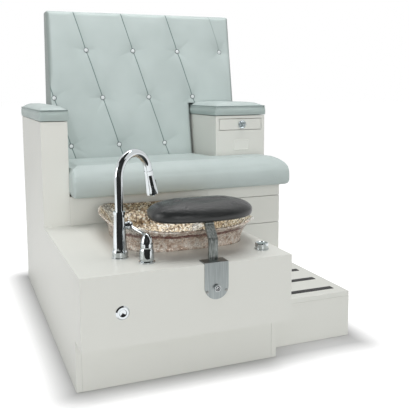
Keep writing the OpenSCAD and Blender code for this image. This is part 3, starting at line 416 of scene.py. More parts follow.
def laminate(name, dark, light):
    """Satin laminate: a hardly visible slow shade and wiped gloss, with faint orange peel."""
    material, tree, shader, where = finish_start(name, specular_ior_level=0.2)
    cloud = put(tree, "TexNoise", {"Vector": where, "Scale": 1.5, "Detail": 1.0})
    shade = stepped(tree, cloud.outputs["Fac"], (0.3, dark), (0.7, light))
    tree.links.new(shade, shader.inputs["Base Color"])
    gloss = use_group(tree, WIPE_MARKS, Vector=where, Scale=2.5, Low=0.36, High=0.42)
    tree.links.new(gloss["Gloss"], shader.inputs["Roughness"])
    peel = put(tree, "TexNoise", {"Vector": where, "Scale": 420.0, "Detail": 1.0})
    raise_bump(tree, shader, peel.outputs["Fac"], 0.00004, 0.2)
    return material


def polished(name, colour, low, high):
    """Polished plate: a mirror with a few wiped clouds."""
    material, tree, shader, where = finish_start(name, metallic=1.0, base_color=colour)
    gloss = use_group(tree, WIPE_MARKS, Vector=where, Scale=25.0, Low=low, High=high)
    tree.links.new(gloss["Gloss"], shader.inputs["Roughness"])
    return material


def brushed(name, dark, light, along):
    """Brushed steel: noise drawn out along one direction gives the lines their shade, gloss and depth."""
    material, tree, shader, where = finish_start(name, metallic=1.0)
    drawn = put(tree, "Mapping", {"Vector": where, "Scale": along})
    lines = put(tree, "TexNoise", {"Vector": drawn.outputs["Vector"], "Scale": 1.0, "Detail": 3.0})
    shade = stepped(tree, lines.outputs["Fac"], (0.3, dark), (0.7, light))
    tree.links.new(shade, shader.inputs["Base Color"])
    level = put(tree, "MapRange", {"Value": lines.outputs["Fac"], "To Min": 0.28, "To Max": 0.42})
    tree.links.new(level.outputs["Result"], shader.inputs["Roughness"])
    raise_bump(tree, shader, lines.outputs["Fac"], 0.00008, 0.4)
    return material


def plywood(name, dark, light):
    """Birch face: long bands of growth rings with fine pores along the same direction."""
    material, tree, shader, where = finish_start(name, roughness=0.55)
    drawn = put(tree, "Mapping", {"Vector": where, "Scale": (3.0, 26.0, 26.0)})
    rings = put(tree, "TexNoise", {"Vector": drawn.outputs["Vector"], "Scale": 1.0, "Detail": 5.0,
                                   "Distortion": 1.2})
    shade = stepped(tree, rings.outputs["Fac"], (0.35, dark), (0.62, light))
    tree.links.new(shade, shader.inputs["Base Color"])
    raise_bump(tree, shader, rings.outputs["Fac"], 0.0003, 0.4)
    return material


def ribbed_rubber(name, dark, light):
    """Anti-slip rubber: fine ribs across the tread and a dusty shade."""
    material, tree, shader, where = finish_start(name, roughness=0.7)
    ribs = put(tree, "TexWave", {"Vector": where, "Scale": 110.0}, bands_direction="Y")
    dust = put(tree, "TexNoise", {"Vector": where, "Scale": 30.0, "Detail": 4.0})
    shade = stepped(tree, dust.outputs["Fac"], (0.35, dark), (0.75, light))
    tree.links.new(shade, shader.inputs["Base Color"])
    raise_bump(tree, shader, ribs.outputs["Fac"], 0.0006, 0.6)
    return material


def moulded(name, dark, light):
    """Moulded plastic: fine spark texture and a slow shade."""
    material, tree, shader, where = finish_start(name)
    cloud = put(tree, "TexNoise", {"Vector": where, "Scale": 40.0, "Detail": 3.0})
    shade = stepped(tree, cloud.outputs["Fac"], (0.35, dark), (0.65, light))
    tree.links.new(shade, shader.inputs["Base Color"])
    gloss = use_group(tree, WIPE_MARKS, Vector=where, Scale=60.0, Low=0.4, High=0.55)
    tree.links.new(gloss["Gloss"], shader.inputs["Roughness"])
    spark = put(tree, "TexNoise", {"Vector": where, "Scale": 900.0})
    raise_bump(tree, shader, spark.outputs["Fac"], 0.0001, 0.5)
    return material


def cut_crystal(name, tint, through, low, high):
    """Cut glass: clear or foiled, with faint wiped gloss."""
    material, tree, shader, where = finish_start(name, base_color=tint, transmission_weight=through,
                                                 ior=1.52, coat_weight=1.0, coat_roughness=0.02)
    gloss = use_group(tree, WIPE_MARKS, Vector=where, Scale=80.0, Low=low, High=high)
    tree.links.new(gloss["Gloss"], shader.inputs["Roughness"])
    return material


def art_glass(name, outer, inner, line, clear):
    """Foiled art glass: flakes, streaks and clouds give the tone, by one ramp outside and one inside.

    A broken dark line runs below the rim, the rim's corners are clear grey, and flakes and streaks turn the
    light."""
    black, white = (0.0, 0.0, 0.0, 1.0), (1.0, 1.0, 1.0, 1.0)
    material, tree, shader, where = finish_start(name, metallic=0.4, transmission_weight=0.1, ior=1.5,
                                                 coat_weight=0.5, coat_roughness=0.04)
    wall = put(tree, "UVMap", uv_map="wall").outputs["UV"]
    turn, height = put(tree, "SeparateXYZ", {"Vector": wall}).outputs[:2]
    drawn = put(tree, "Mapping", {"Vector": wall, "Scale": (110.0, 7.0, 1.0)})
    streaks = put(tree, "TexNoise", {"Vector": drawn.outputs["Vector"], "Scale": 1.0, "Detail": 4.0,
                                     "Distortion": 0.6})
    clouds = put(tree, "TexNoise", {"Vector": where, "Scale": 30.0, "Detail": 5.0, "Distortion": 0.8})
    flakes = put(tree, "TexVoronoi", {"Vector": where, "Scale": 150.0})
    flake = put(tree, "SeparateXYZ", {"Vector": flakes.outputs["Color"]}).outputs["X"]
    soft = put(tree, "Mix", {0: 0.35, 2: streaks.outputs["Fac"], 3: clouds.outputs["Fac"]},
               data_type="FLOAT").outputs[0]
    inside = put(tree, "MapRange", {"Value": height, "From Min": 1.0, "From Max": 1.1}).outputs["Result"]
    part = put(tree, "MapRange", {"Value": inside, "To Min": 0.14, "To Max": 0.5}).outputs["Result"]
    tone = put(tree, "Mix", {0: part, 2: soft, 3: flake}, data_type="FLOAT").outputs[0]
    foil = blend_colours(tree, inside, stepped(tree, tone, *outer), stepped(tree, tone, *inner))
    wavy = put(tree, "Math", {0: clouds.outputs["Fac"], 1: 0.16, 2: height},
               operation="MULTIPLY_ADD").outputs["Value"]
    band = stepped(tree, wavy, (0.9, black), (0.94, white), (0.98, white), (1.0, black))
    broken = put(tree, "MapRange", {"Value": soft, "From Min": 0.32, "From Max": 0.46}).outputs["Result"]
    marked = put(tree, "Math", {0: band, 1: broken}, operation="MULTIPLY").outputs["Value"]
    lined = blend_colours(tree, marked, foil, line)
    angle = put(tree, "Math", {0: turn, 1: 4 * math.pi}, operation="MULTIPLY").outputs["Value"]
    swing = put(tree, "Math", {0: angle}, operation="SINE").outputs["Value"]
    corner = put(tree, "Math", {0: swing, 1: swing}, operation="MULTIPLY").outputs["Value"]
    tip = put(tree, "MapRange", {"Value": corner, "From Min": 0.75, "From Max": 0.97}).outputs["Result"]
    high = put(tree, "MapRange", {"Value": height, "From Min": 0.8, "From Max": 0.97}).outputs["Result"]
    lip = put(tree, "Math", {0: tip, 1: high}, operation="MULTIPLY").outputs["Value"]
    lip = put(tree, "Math", {0: lip, 1: 0.6}, operation="MULTIPLY").outputs["Value"]
    tree.links.new(blend_colours(tree, lip, lined, clear), shader.inputs["Base Color"])
    level = put(tree, "MapRange", {"Value": flake, "To Min": 0.08, "To Max": 0.42}).outputs["Result"]
    tree.links.new(level, shader.inputs["Roughness"])
    dents = put(tree, "Math", {0: flakes.outputs["Distance"], 1: 0.35, 2: soft}, operation="MULTIPLY_ADD")
    raise_bump(tree, shader, dents.outputs["Value"], 0.005, 0.8)
    return material


def shade_of(red, green, blue):
    """A screen colour, 0 to 255, as the linear colour that shaders take."""
    c = np.array([red, green, blue]) / 255.0
    linear = np.where(c <= 0.04045, c / 12.92, ((c + 0.055) / 1.055) ** 2.4)
    return (*linear.tolist(), 1.0)


AQUA_TONES = shade_of(172, 183, 181), shade_of(179, 190, 188), (0.4, 0.52), 650.0, 0.00025
# The welt's vinyl is the pad's, darker: painted shade of the shadow line along the piping.
WELT_SHADE_TONES = shade_of(112, 126, 124), shade_of(122, 136, 134), (0.4, 0.5), 650.0, 0.0002
BLACK_TONES = shade_of(24, 26, 26), shade_of(29, 31, 31), (0.27, 0.33), 500.0, 0.0002
AQUA = vinyl("aqua_vinyl", *AQUA_TONES)
# The arm pads' vinyl is darker on their sides: painted shade.
AQUA_PAD = vinyl("aqua_vinyl_painted_side_shade", *AQUA_TONES, side_shade=shade_of(163, 176, 173))
# The back's vinyl is darker on its sides and along its seams: painted shade on the sides and in the seam
# creases.
AQUA_BACK = vinyl("aqua_tufted_vinyl", *AQUA_TONES, side_shade=shade_of(136, 146, 143),
                  seam=shade_of(106, 123, 121))
AQUA_WELT_SHADED = vinyl("aqua_welt_painted_shade", *WELT_SHADE_TONES)
BLACK = vinyl("black_vinyl", *BLACK_TONES, shine=0.5)
WHITE = laminate("white_laminate", shade_of(213, 214, 208), shade_of(215, 216, 210))
CHROME = polished("polished_chrome", shade_of(198, 203, 205), 0.02, 0.07)
ZINC = polished("zinc_plate", shade_of(150, 151, 148), 0.25, 0.4)
COPPER = polished("supply_copper", shade_of(205, 138, 104), 0.2, 0.34)
STEEL = brushed("brushed_steel", shade_of(133, 139, 139), shade_of(154, 160, 160), (420.0, 420.0, 12.0))
BAR = brushed("bar_steel", shade_of(76, 81, 79), shade_of(161, 166, 163), (200.0, 200.0, 40.0))
BOLT = polished("bolt_nickel", shade_of(176, 180, 181), 0.08, 0.16)
BIRCH = plywood("birch_plywood", shade_of(196, 160, 115), shade_of(222, 192, 150))
TREAD = ribbed_rubber("tread_rubber", (0.012, 0.012, 0.013, 1.0), (0.03, 0.03, 0.031, 1.0))
TOGGLE = moulded("toggle_plastic", shade_of(26, 27, 28), shade_of(38, 39, 40))
# Dark plastic for the rings round the buttons: painted shadow.
SHADOW_RING = moulded("button_shadow_ring", shade_of(64, 72, 72), shade_of(80, 88, 88))
KNOB = cut_crystal("knob_crystal", shade_of(190, 199, 203), 0.8, 0.0, 0.05)
STONE = cut_crystal("button_crystal", shade_of(222, 228, 229), 0.1, 0.05, 0.12)
GLASS = art_glass(
    "bowl_glass",
    [(0.32, shade_of(128, 106, 94)), (0.43, shade_of(196, 174, 158)), (0.53, shade_of(226, 214, 202)),
     (0.68, shade_of(250, 247, 242))],
    [(0.24, shade_of(98, 80, 66)), (0.42, shade_of(196, 172, 141)), (0.58, shade_of(248, 231, 199)),
     (0.76, shade_of(255, 253, 244))],
    shade_of(110, 52, 46), shade_of(190, 194, 191))
PLATE = laminate("plate_enamel", shade_of(217, 218, 212), shade_of(219, 220, 214))

FINISHES = {
    WHITE: ["left_side_panel", "foot_front_panel", "foot_right_panel", "toe_kick", "deck_top",
            "seat_front_panel", "seat_front_rails", "right_side_panel", "rear_panel", "left_arm_front",
            "left_arm_inner_panel", "right_arm_front", "right_arm_inner_panel", "step_front", "step_side",
            "step_top", "arm_drawer_front", "upper_drawer_front", "lower_drawer_front"],
    BIRCH: ["drawer_partition", "seat_board", "arm_drawer_box", "upper_drawer_box", "lower_drawer_box"],
    AQUA: ["back_board"],
    TREAD: ["step_treads"],
    CHROME: ["drain_body", "drain_tailpiece", "drain_stopper", "drain_knob_base", "drain_knob",
             "faucet_base", "faucet_body", "faucet_spout", "spray_dock", "spray_head", "lever_hub",
             "lever_handle", "vacuum_breaker_body", "vacuum_breaker_bonnet", "air_button_bezel",
             "air_button"],
    BOLT: ["footrest_clamp_bolt"],
    STEEL: ["footrest_bracket"],
    BAR: ["footrest_post"],
    ZINC: ["mounting_nuts", "drain_nut", "footrest_guide", "side_drawer_runners", "arm_drawer_runners"],
    KNOB: ["arm_drawer_knob"],
    STONE: ["tuft_buttons"],
    TOGGLE: ["spray_toggle"],
    COPPER: ["supply_tails"],
}
for finish, names in FINISHES.items():
    for node_name in names:
        NODES[node_name].data.materials.clear()
        NODES[node_name].data.materials.append(finish)


def soften_edges(node, width):
    """Rounds a board's edges a little so that they catch the light, on corners welded first."""
    node.modifiers.new("weld", "WELD").merge_threshold = MERGE
    bevel = node.modifiers.new("bevel", "BEVEL")
    bevel.width = width
    bevel.segments = 2
    bevel.limit_method = "ANGLE"
    bevel.angle_limit = math.radians(40)


BOARD_EDGE = 0.0012
SHARP_BOARDS = "foot_front_panel", "deck_top"
for node_name in FINISHES[WHITE]:
    if node_name not in SHARP_BOARDS:
        soften_edges(NODES[node_name], BOARD_EDGE)


# Back: a reclined slab, notched over the right arm

def steps_to(start, end, steps):
    """Even steps from a start, which is left out, to an end."""
    return np.linspace(start, end, steps + 1)[1:]


def back_loop(z, over):
    """The back's outline at one height, from the front left round by the right, the rear and the left side.

    Over the arm it reaches out to the right; below, its right side is the notch's leaning wall. Both outer
    sides run on as a flap over the board's sides, farther back the lower they are. Corners are quarter
    rounds, and at the top the outline is drawn in by a quarter round too."""
    rise = max(0.0, z - BACK_TOP + BACK_EDGE) / BACK_EDGE
    inset = BACK_EDGE * (1 - math.sqrt(1 - min(1.0, rise) ** 2))
    front, rear = back_front(z) + inset, back_front(z) + BACK_T / math.cos(RECLINE)
    left, right, r = BACK_X[0] + inset, BACK_X[1] - inset, BACK_EDGE - inset
    flap = min(FLAP_REAR, rear + FLAP_LEAST + FLAP_LEAN * (BACK_TOP - z))
    share = 1.0 if over else (z - SEAT_H) / (BACK_OVER - SEAT_H)
    wall = RIGHT_ARM_X - NOTCH_LOW + (NOTCH_LOW - NOTCH_TOP) * share
    q = np.linspace(0, math.pi / 2, 7)
    turn_in = np.stack([left + r - r * np.cos(q), front + r - r * np.sin(q)], -1)
    turn_out = np.stack([-r + r * np.sin(q), front + r - r * np.cos(q)], -1)
    main = steps_to([left + r, front], [wall - r, front], 150)
    if over:
        wing = [steps_to([wall - r, front], [right - r, front], 54),
                turn_out[1:] + [right, 0.0],
                steps_to([right, front + r], [right, flap], 10),
                steps_to([right, flap], [right - FLAP_T, flap], 2),
                steps_to([right - FLAP_T, flap], [right - FLAP_T, rear], 4),
                steps_to([right - FLAP_T, rear], [wall, rear], 22)]
    else:
        wing = [turn_out[1:] + [wall, 0.0], steps_to([wall, front + r], [wall, rear], 92)]
    behind = [steps_to([wall, rear], [left + FLAP_T, rear], 40),
              steps_to([left + FLAP_T, rear], [left + FLAP_T, flap], 4),
              steps_to([left + FLAP_T, flap], [left, flap], 2),
              steps_to([left, flap], [left, front + r], 12)[:-1]]
    loop = np.concatenate([turn_in, main, *wing, *behind])
    return np.column_stack([loop, np.full(len(loop), z)])


def back_rings():
    """Outlines from the seat to the arm, from the arm to the top's round, and over the round."""
    low = np.linspace(SEAT_H + 0.6, BACK_OVER - 0.5, 74)
    high = np.linspace(BACK_OVER, BACK_TOP - BACK_EDGE, 90)
    top = BACK_TOP - BACK_EDGE + BACK_EDGE * np.sin(np.linspace(0, math.pi / 2, 7)[1:])
    over = np.concatenate([high, top])
    return np.array([back_loop(z, False) for z in low] + [back_loop(z, True) for z in over])


def seam_place(x, z):
    """Place across the diagonal seams, a whole number on each of them."""
    return (x - TUFT_X - TUFT_SHIFT * (TUFT_Z - z) / TUFT_ROW) / TUFT_PITCH


TUFTS = np.array([(TUFT_X + r * TUFT_SHIFT + k * TUFT_PITCH, TUFT_Z - r * TUFT_ROW)
                  for r in range(3) for k in range(-2, 5)])
TUFTS = TUFTS[(TUFTS[:, 0] > BACK_X[0] + TUFT_MARGIN) & (TUFTS[:, 0] < BACK_X[1] - TUFT_MARGIN)]
PILLOW_FLAT, PILLOW_ARCH = 5.0, 7.0
TUFT_WIDE, TUFT_NARROW, TUFT_PULL = 62.0, 24.0, 5.0
FOLD_DEPTH, FOLD_WIDTH, FOLD_MID, FOLD_FROM = 1.4, 6.5, 30.0, 8.0
WEAK_SEAM, WEAK_FADE = 0.45, 20.0
FOLDS = np.random.default_rng(5)


def seam_depth(x, z):
    """How deep the nearest seam is drawn, 0 to 1: the last on the right is weak and ends at its button."""
    weak = WEAK_SEAM * np.clip((z - TUFT_Z + WEAK_FADE) / WEAK_FADE, 0, 1)
    return np.where(seam_place(x, z) > 2.5, weak, 1.0)


def back_relief(x, z):
    """Height of the vinyl over the back's front plane, in millimetres.

    Each panel between seams is a pillow of two arches, 1 - q^6 and 1 - q^2, where q is 0 halfway between
    its seams and grows to the seam's depth on them. A button flattens the pillow by a wide bell
    exp(-(r/w)^2) and pulls in a narrow one, and four uneven folds run out from it and fade along their
    length."""
    q = np.abs(2 * (seam_place(x, z) % 1.0) - 1) * seam_depth(x, z)
    pillow = PILLOW_FLAT * (1 - q ** 6) + PILLOW_ARCH * (1 - q ** 2)
    pull = np.zeros_like(x)
    for bx, bz in TUFTS:
        dx, dz = x - bx, z - bz
        r = np.hypot(dx, dz)
        pillow *= 1 - 0.9 * np.exp(-(r / TUFT_WIDE) ** 2)
        pull += TUFT_PULL * np.exp(-(r / TUFT_NARROW) ** 2)
        start = FOLDS.uniform(0, 2 * np.pi)
        for number in range(4):
            angle = start + number * np.pi / 2 + FOLDS.uniform(-0.5, 0.5)
            reach = FOLDS.uniform(24, 52)
            ahead = dx * np.cos(angle) + dz * np.sin(angle)
            aside = dz * np.cos(angle) - dx * np.sin(angle)
            fold = np.exp(-(aside / FOLD_WIDTH) ** 2 - ((ahead - FOLD_MID) / reach) ** 4)
            pull += FOLD_DEPTH * fold * (ahead > FOLD_FROM)
    return pillow - pull


def back_pad():
    """The tufted back: a slab blown up between its held seams, then moved out by the relief."""
    mesh = skin("back_pad", placed(back_rings()))
    weld(mesh)
    p = cabinet_points(mesh)
    share = seam_place(p[:, 0], p[:, 2]) % 1.0
    seam = np.minimum(share, 1 - share) * TUFT_PITCH
    front = p[:, 1] - back_front(p[:, 2]) < 4
    right = np.where(p[:, 2] > BACK_OVER - 0.2, BACK_X[1], RIGHT_ARM_X - NOTCH_LOW)
    sides = np.minimum(p[:, 0] - BACK_X[0], right - p[:, 0])
    rim = np.minimum(sides, np.minimum(BACK_TOP - p[:, 2], p[:, 2] - SEAT_H))
    puff(mesh, ~front | (seam < 6.0) | (rim < 12), 0.004)
    lift = back_relief(p[:, 0], p[:, 2]) * front * np.clip(rim / 16.0, 0, 1)
    out = np.array([0.0, -math.cos(RECLINE), math.sin(RECLINE)])
    move_points(mesh, points_of(mesh) + out * lift[:, None] / 1000.0)
    # Where the painted seam shade may fall: the front, weighed by each seam's depth.
    paint_points(mesh, "front", front * seam_depth(p[:, 0], p[:, 2]))
    # Painted shade: the back's sides, facing left and right, are marked for a darker colour.
    paint_points(mesh, "side_shade_share", np.clip((np.abs(normals_of(mesh)[:, 0]) - 0.45) / 0.25, 0, 1))
    round_off(mesh)
    piece = piece_from("back_tufted_pad", mesh, AQUA_BACK)
    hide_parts("back_cushion")


def button_shadow_rings():
    """A dark ring round each button, painted shadow where the button sits in the vinyl: a small circle
    turned about the back's own normal.
    """
    a = np.linspace(0, 2 * np.pi, 8, endpoint=False)
    outline = np.stack([10.3 + 1.2 * np.cos(a), -3.3 + 1.2 * np.sin(a)], -1)
    out = np.array([0.0, -math.cos(RECLINE), math.sin(RECLINE)])
    shown = TUFTS[(TUFTS[:, 1] > ARM_PAD_TOP) | (TUFTS[:, 0] < RIGHT_ARM_X - TUFT_MARGIN)]
    for number, (bx, bz) in enumerate(shown):
        name = f"button_shadow_ring_{number + 1}"
        mesh = turned(name, outline, (bx, back_front(bz), bz), out, 24, hollow=True)
        piece_from(name, mesh, SHADOW_RING)


back_pad()
button_shadow_rings()


# Seat, arm and foot pads

WELT_R, WELT_INSET, WELT_CORNER = 2.2, 4.0, 8.0
PAD_RISE, PAD_FALL, PAD_PROUD = 6.0, 7.0, 6.0
LEFT_PAD_X, LEFT_PAD_FRONT = 107.0, 680.0


def crowned(points, rise, fall):
    """A pad's points with its top bent: up by the rise in the middle and down by the fall along its edges.

    The share of the middle is (1 - u^4)(1 - v^12) of the places u and v across and along, -1 to 1, and it
    all fades to nothing at the pad's foot."""
    low, high = points.min(0), points.max(0)
    u, v, h = np.clip(2 * (points - low) / (high - low) - 1, -1, 1).T
    middle = (1 - u ** 4) * (1 - v ** 12)
    return points + np.outer((h + 1) / 2 * (rise * middle - fall * (1 - middle)), [0.0, 0.0, 1.0])


def box_pad(node, name, voxel, shrink, cap, low, finish, rise=0.0, fall=0.0):
    """A pad from its own soft solid: drawn in, crowned, blown up by cloth pressure, and subdivided once."""
    mesh = foam_block(node, voxel)
    move_points(mesh, crowned(points_of(mesh) - normals_of(mesh) * shrink, rise, fall))
    puff(mesh, cabinet_points(mesh)[:, 2] < low, cap)
    mesh = with_modifier(mesh, "SUBSURF", levels=1, render_levels=1)
    # Painted shade: the pad's sides, where the normals leave the upright, are marked for a darker colour.
    paint_points(mesh, "side_shade_share", np.clip((0.75 - normals_of(mesh)[:, 2]) / 0.4, 0, 1))
    round_off(mesh)
    piece = piece_from(name, mesh, finish)
    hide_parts(node)


def pad_welt(name, x, y):
    """Piping along the top edge of a box-shaped pad: a cord round a rectangle with small round corners, in
    the pad's vinyl made darker as painted shade of the seam's shadow line.
    """
    a = np.linspace(0, 2 * np.pi, 128, endpoint=False) + np.pi / 128
    turn = np.stack([np.cos(a), np.sin(a)], -1)
    mid = np.array([sum(x), sum(y)]) / 2
    half = np.array([x[1] - x[0], y[1] - y[0]]) / 2 - WELT_INSET - WELT_CORNER
    flat = mid + np.sign(turn) * half + turn * WELT_CORNER
    path = np.column_stack([flat, np.full(len(a), ARM_PAD_TOP - WELT_INSET - PAD_FALL)])
    piece_from(name, tube(name, path, WELT_R), AQUA_WELT_SHADED)


box_pad("seat_cushion", "seat_pad", 0.008, 0.003, 0.006, SEAT_H + 14, AQUA)
for arm in ("left_arm", "right_arm"):
    box_pad(f"{arm}_pad", f"{arm}_rest", 0.005, 0.002, 0.004, ARM_H + 8, AQUA_PAD,
            PAD_RISE / 1000, PAD_FALL / 1000)
pad_welt("left_arm_welt", (-PAD_PROUD, LEFT_PAD_X), (LEFT_PAD_FRONT, TOTAL_D))
pad_welt("right_arm_welt", (RIGHT_ARM_X - PAD_PROUD, SEAT_W + PAD_PROUD),
         (ARM_FRONT_Y - PAD_PROUD, TOTAL_D))


def superellipse(half_x, half_y, power, t):
    """Points of a superellipse about the origin: cos and sin to the power 2 / p, with their signs kept."""
    c, s = np.cos(t), np.sin(t)
    x = half_x * np.sign(c) * np.abs(c) ** (2 / power)
    y = half_y * np.sign(s) * np.abs(s) ** (2 / power)
    return np.stack([x, y], -1)


def footrest_cushion():
    """The footrest's pad as rings of a superellipse, with a small round below and a wide crown above."""
    t = np.linspace(0, 2 * np.pi, 160, endpoint=False)
    rings = []
    for h in np.sin(np.linspace(-math.pi / 2, math.pi / 2, 41)):
        edge, size = (PAD_BULGE, PAD_BELLY * PAD_T) if h < 0 else (PAD_CROWN, PAD_ROUND * PAD_D / 2)
        inset = size * (1 - (1 - abs(h) ** edge) ** (1 / edge))
        z = PAD_LOW + PAD_T * (PAD_BELLY + h * (PAD_BELLY if h < 0 else 1 - PAD_BELLY))
        flat = superellipse(PAD_LEN / 2 - inset, PAD_D / 2 - inset, PAD_POWER, t) + [PAD_X, PAD_Y]
        rings.append(np.column_stack([flat, np.full(len(t), z)]))
    mesh = skin("footrest_cushion", placed(np.array(rings)))
    weld(mesh)
    puff(mesh, cabinet_points(mesh)[:, 2] < PAD_LOW + 10, 0.003)
    round_off(mesh)
    piece = piece_from("footrest_cushion", mesh, BLACK, "footrest")
    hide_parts("footrest_pad")


footrest_cushion()


# Glass bowl

def bowl_wall(s, inward, t):
    """A ring of the bowl at share s of its height: a superellipse inside the rim, its four corners raised.

    Above the deck the wall curls out by a power of the height; below it tapers to a rounded foot."""
    deck = BOWL_DROP / BOWL_H
    above = max(0.0, (s - deck) / (1 - deck))
    taper = BOWL_TAPER * max(0.0, 1 - s / deck)
    taper += FOOT_ROUND * max(0.0, 1 - s / FOOT_ROUND_END) ** 2 + inward
    inset = np.array([RIM_SIDE, RIM_FRONT]) * (1 - above ** RIM_CURL) + taper
    flat = superellipse(BOWL_W / 2 - inset[0], BOWL_D / 2 - inset[1], BOWL_POWER, t) + [BOWL_X, BOWL_Y]
    z = BOWL_LOW + s * BOWL_H + RIM_LIFT * above ** 2 * np.sin(2 * t) ** 2
    return np.column_stack([flat, z])


def glass_bowl():
    """The bowl as one skin: up the outside, over a round rim, down the inside and in to the drain's hole.

    The outer wall carries shallow ripples, 0.8 mm of sin(23a + 9s) and 0.6 mm of sin(41a - 6s), that fade to
    nothing at its foot and rim."""
    t = np.linspace(0, 2 * np.pi, 288, endpoint=False)
    up = np.linspace(0, 1, 36) ** 0.8
    down = 1 - (1 - GLASS_T / BOWL_H) * np.linspace(0, 1, 36) ** 1.25
    rings, shares = [], []
    hole = np.stack([BOWL_X + DRAIN_R * np.cos(t), BOWL_Y + DRAIN_R * np.sin(t),
                     np.full_like(t, BOWL_LOW)], -1)
    rings.append(hole)
    shares.append(0.0)
    for s in up:
        rings.append(bowl_wall(s, 0.0, t))
        shares.append(s)
    for a in np.linspace(0, math.pi, 7)[1:-1]:
        ring = bowl_wall(1.0, GLASS_T / 2 * (1 - math.cos(a)), t)
        ring[:, 2] += GLASS_T / 2 * math.sin(a)
        rings.append(ring)
        shares.append(1.0 + 0.02 * a)
    for s in down:
        rings.append(bowl_wall(s, GLASS_T, t))
        shares.append(2.1 - s)
    rings.append(hole + [0.0, 0.0, GLASS_T])
    shares.append(2.1)
    rings.append(hole)
    shares.append(2.2)
    rings = np.array(rings)
    s = np.array(shares)[:, None]
    live = np.ones(len(rings))
    live[[0, 1, -3, -2, -1]] = 0.0
    ripple = 0.8 * np.sin(23 * t + 9 * s) + 0.6 * np.sin(41 * t - 6 * s)
    outward = np.stack([np.cos(t), np.sin(t), np.zeros_like(t)], -1)
    rings += (live[:, None] * ripple * np.sin(np.pi * np.clip(s, 0, 1)))[..., None] * outward
    uv = np.stack(np.broadcast_arrays(t / (2 * np.pi), s), -1)
    mesh = skin("bowl", placed(rings), ends=False, uv=uv)
    weld(mesh)
    piece = piece_from("rippled_glass_bowl", mesh, GLASS)
    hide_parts("glass_bowl")


glass_bowl()


# Small fittings

def bracket_screws():
    """Two pan head screws in the footrest bracket: a domed outline turned about the depth axis."""
    dome = [(0.01, 0.0), (4.2, 0.0), (4.4, 0.6), (3.6, 1.8), (2.2, 2.4), (0.9, 2.5), (0.8, 1.6),
            (0.01, 1.5)]
    for side, name in ((-1, "bracket_screw_left"), (1, "bracket_screw_right")):
        centre = (REST_X + side * SCREW_SPREAD, BRACKET_FRONT, SCREW_Z)
        piece_from(name, turned(name, dome, centre, (0, -1, 0), 24), ZINC)


def bolt_dark_reflection():
    """A dark ring let into the clamp bolt's head, a painted dark reflection on the polished head: a flat
    loop turned about the depth axis.
    """
    loop = [(5.2, -0.2), (8.2, -0.2), (8.0, 0.35), (5.4, 0.35)]
    # Painted reflection: dark plastic ring on the polished bolt head.
    mesh = turned("bolt_dark_reflection", loop, (REST_X, BOLT_FRONT, BOLT_Z), (0, -1, 0), 32, hollow=True)
    piece_from("bolt_dark_reflection", mesh, TOGGLE)


def bare_plate():
    """A thin plate on the right arm's front: rings of a rounded rectangle, with a raised, bevelled edge."""
    mid = np.array([sum(PLATE_X) / 2, sum(PLATE_Z) / 2])
    half = np.array([PLATE_X[1] - PLATE_X[0], PLATE_Z[1] - PLATE_Z[0]]) / 2
    corner = 6.0
    a = np.linspace(0, 2 * np.pi, 48, endpoint=False) + np.pi / 48
    turn = np.stack([np.cos(a), np.sin(a)], -1)
    rings = []
    for inset, proud in ((0.0, 0.0), (0.0, 0.7), (0.6, 1.2), (5.0, 1.2), (5.6, 0.8), (8.0, 0.8)):
        flat = mid + np.sign(turn) * (half - corner) + turn * (corner - min(inset, corner - 1)) \
            - np.sign(turn) * max(inset - corner + 1, 0)
        rings.append(np.stack([flat[:, 0], np.full(48, ARM_FRONT_Y - proud), flat[:, 1]], -1))
    piece_from("arm_plate", skin("arm_plate", placed(np.array(rings))), PLATE)


bracket_screws()
bolt_dark_reflection()
bare_plate()


# Camera, light and floor

CAMERA_AT = (-0.8146, -2.2802, 0.8990)
CAMERA_YAW, CAMERA_PITCH, CAMERA_ROLL = (math.radians(a) for a in (20.78, 6.87, -0.45))
CAMERA_LENS, CAMERA_SHIFT = 53.0, (0.052, -0.102)


def photo_camera():
    """The camera from its place, heading, pitch and roll: columns right, up and back of its matrix."""
    flat = math.cos(CAMERA_PITCH)
    ahead = np.array([math.sin(CAMERA_YAW) * flat, math.cos(CAMERA_YAW) * flat, -math.sin(CAMERA_PITCH)])
    level = np.array([math.cos(CAMERA_YAW), -math.sin(CAMERA_YAW), 0.0])
    high = np.cross(level, ahead)
    right = level * math.cos(CAMERA_ROLL) + high * math.sin(CAMERA_ROLL)
    up = high * math.cos(CAMERA_ROLL) - level * math.sin(CAMERA_ROLL)
    data = bpy.data.cameras.new("photo_camera")
    data.sensor_width = 36.0
    data.lens = CAMERA_LENS
    data.shift_x, data.shift_y = CAMERA_SHIFT
    camera = bpy.data.objects.new("photo_camera", data)
    SCENE.collection.objects.link(camera)
    turn = np.eye(4)
    turn[:3, 0], turn[:3, 1], turn[:3, 2], turn[:3, 3] = right, up, -ahead, CAMERA_AT
    camera.matrix_world = Matrix(turn.tolist())
    SCENE.camera = camera


def seen_directly(tree):
    """1 for rays from the camera, from mirrors or through glass, 0 for light that falls on things."""
    path = put(tree, "LightPath").outputs
    seen = put(tree, "Math", {0: path["Is Camera Ray"], 1: path["Is Transmission Ray"]},
               operation="MAXIMUM")
    return put(tree, "Math", {0: seen.outputs["Value"], 1: path["Is Glossy Ray"]},
               operation="MAXIMUM").outputs["Value"]


SKY_LIGHT = 0.27


def studio_world():
    """White where it is seen, also in mirrors, and an even dome of a lower strength where it lights."""
    world = bpy.data.worlds.new("studio_world")
    SCENE.world = world
    world.use_nodes = True
    tree = world.node_tree
    tree.nodes.clear()
    level = put(tree, "Math", {0: seen_directly(tree), 1: SKY_LIGHT}, operation="MAXIMUM")
    sky = put(tree, "Background", {"Color": (1.0, 1.0, 1.0, 1.0), "Strength": level.outputs["Value"]})
    out = put(tree, "OutputWorld")
    tree.links.new(sky.outputs["Background"], out.inputs["Surface"])


FOOTPRINT = (0.0, 94.0), (1014.0, TOTAL_D)
FLOOR_PAPER, FLOOR_LIFT, FLOOR_SHADOW_REACH, FLOOR_DOWN = 0.6, 0.85, 0.14, -0.0005


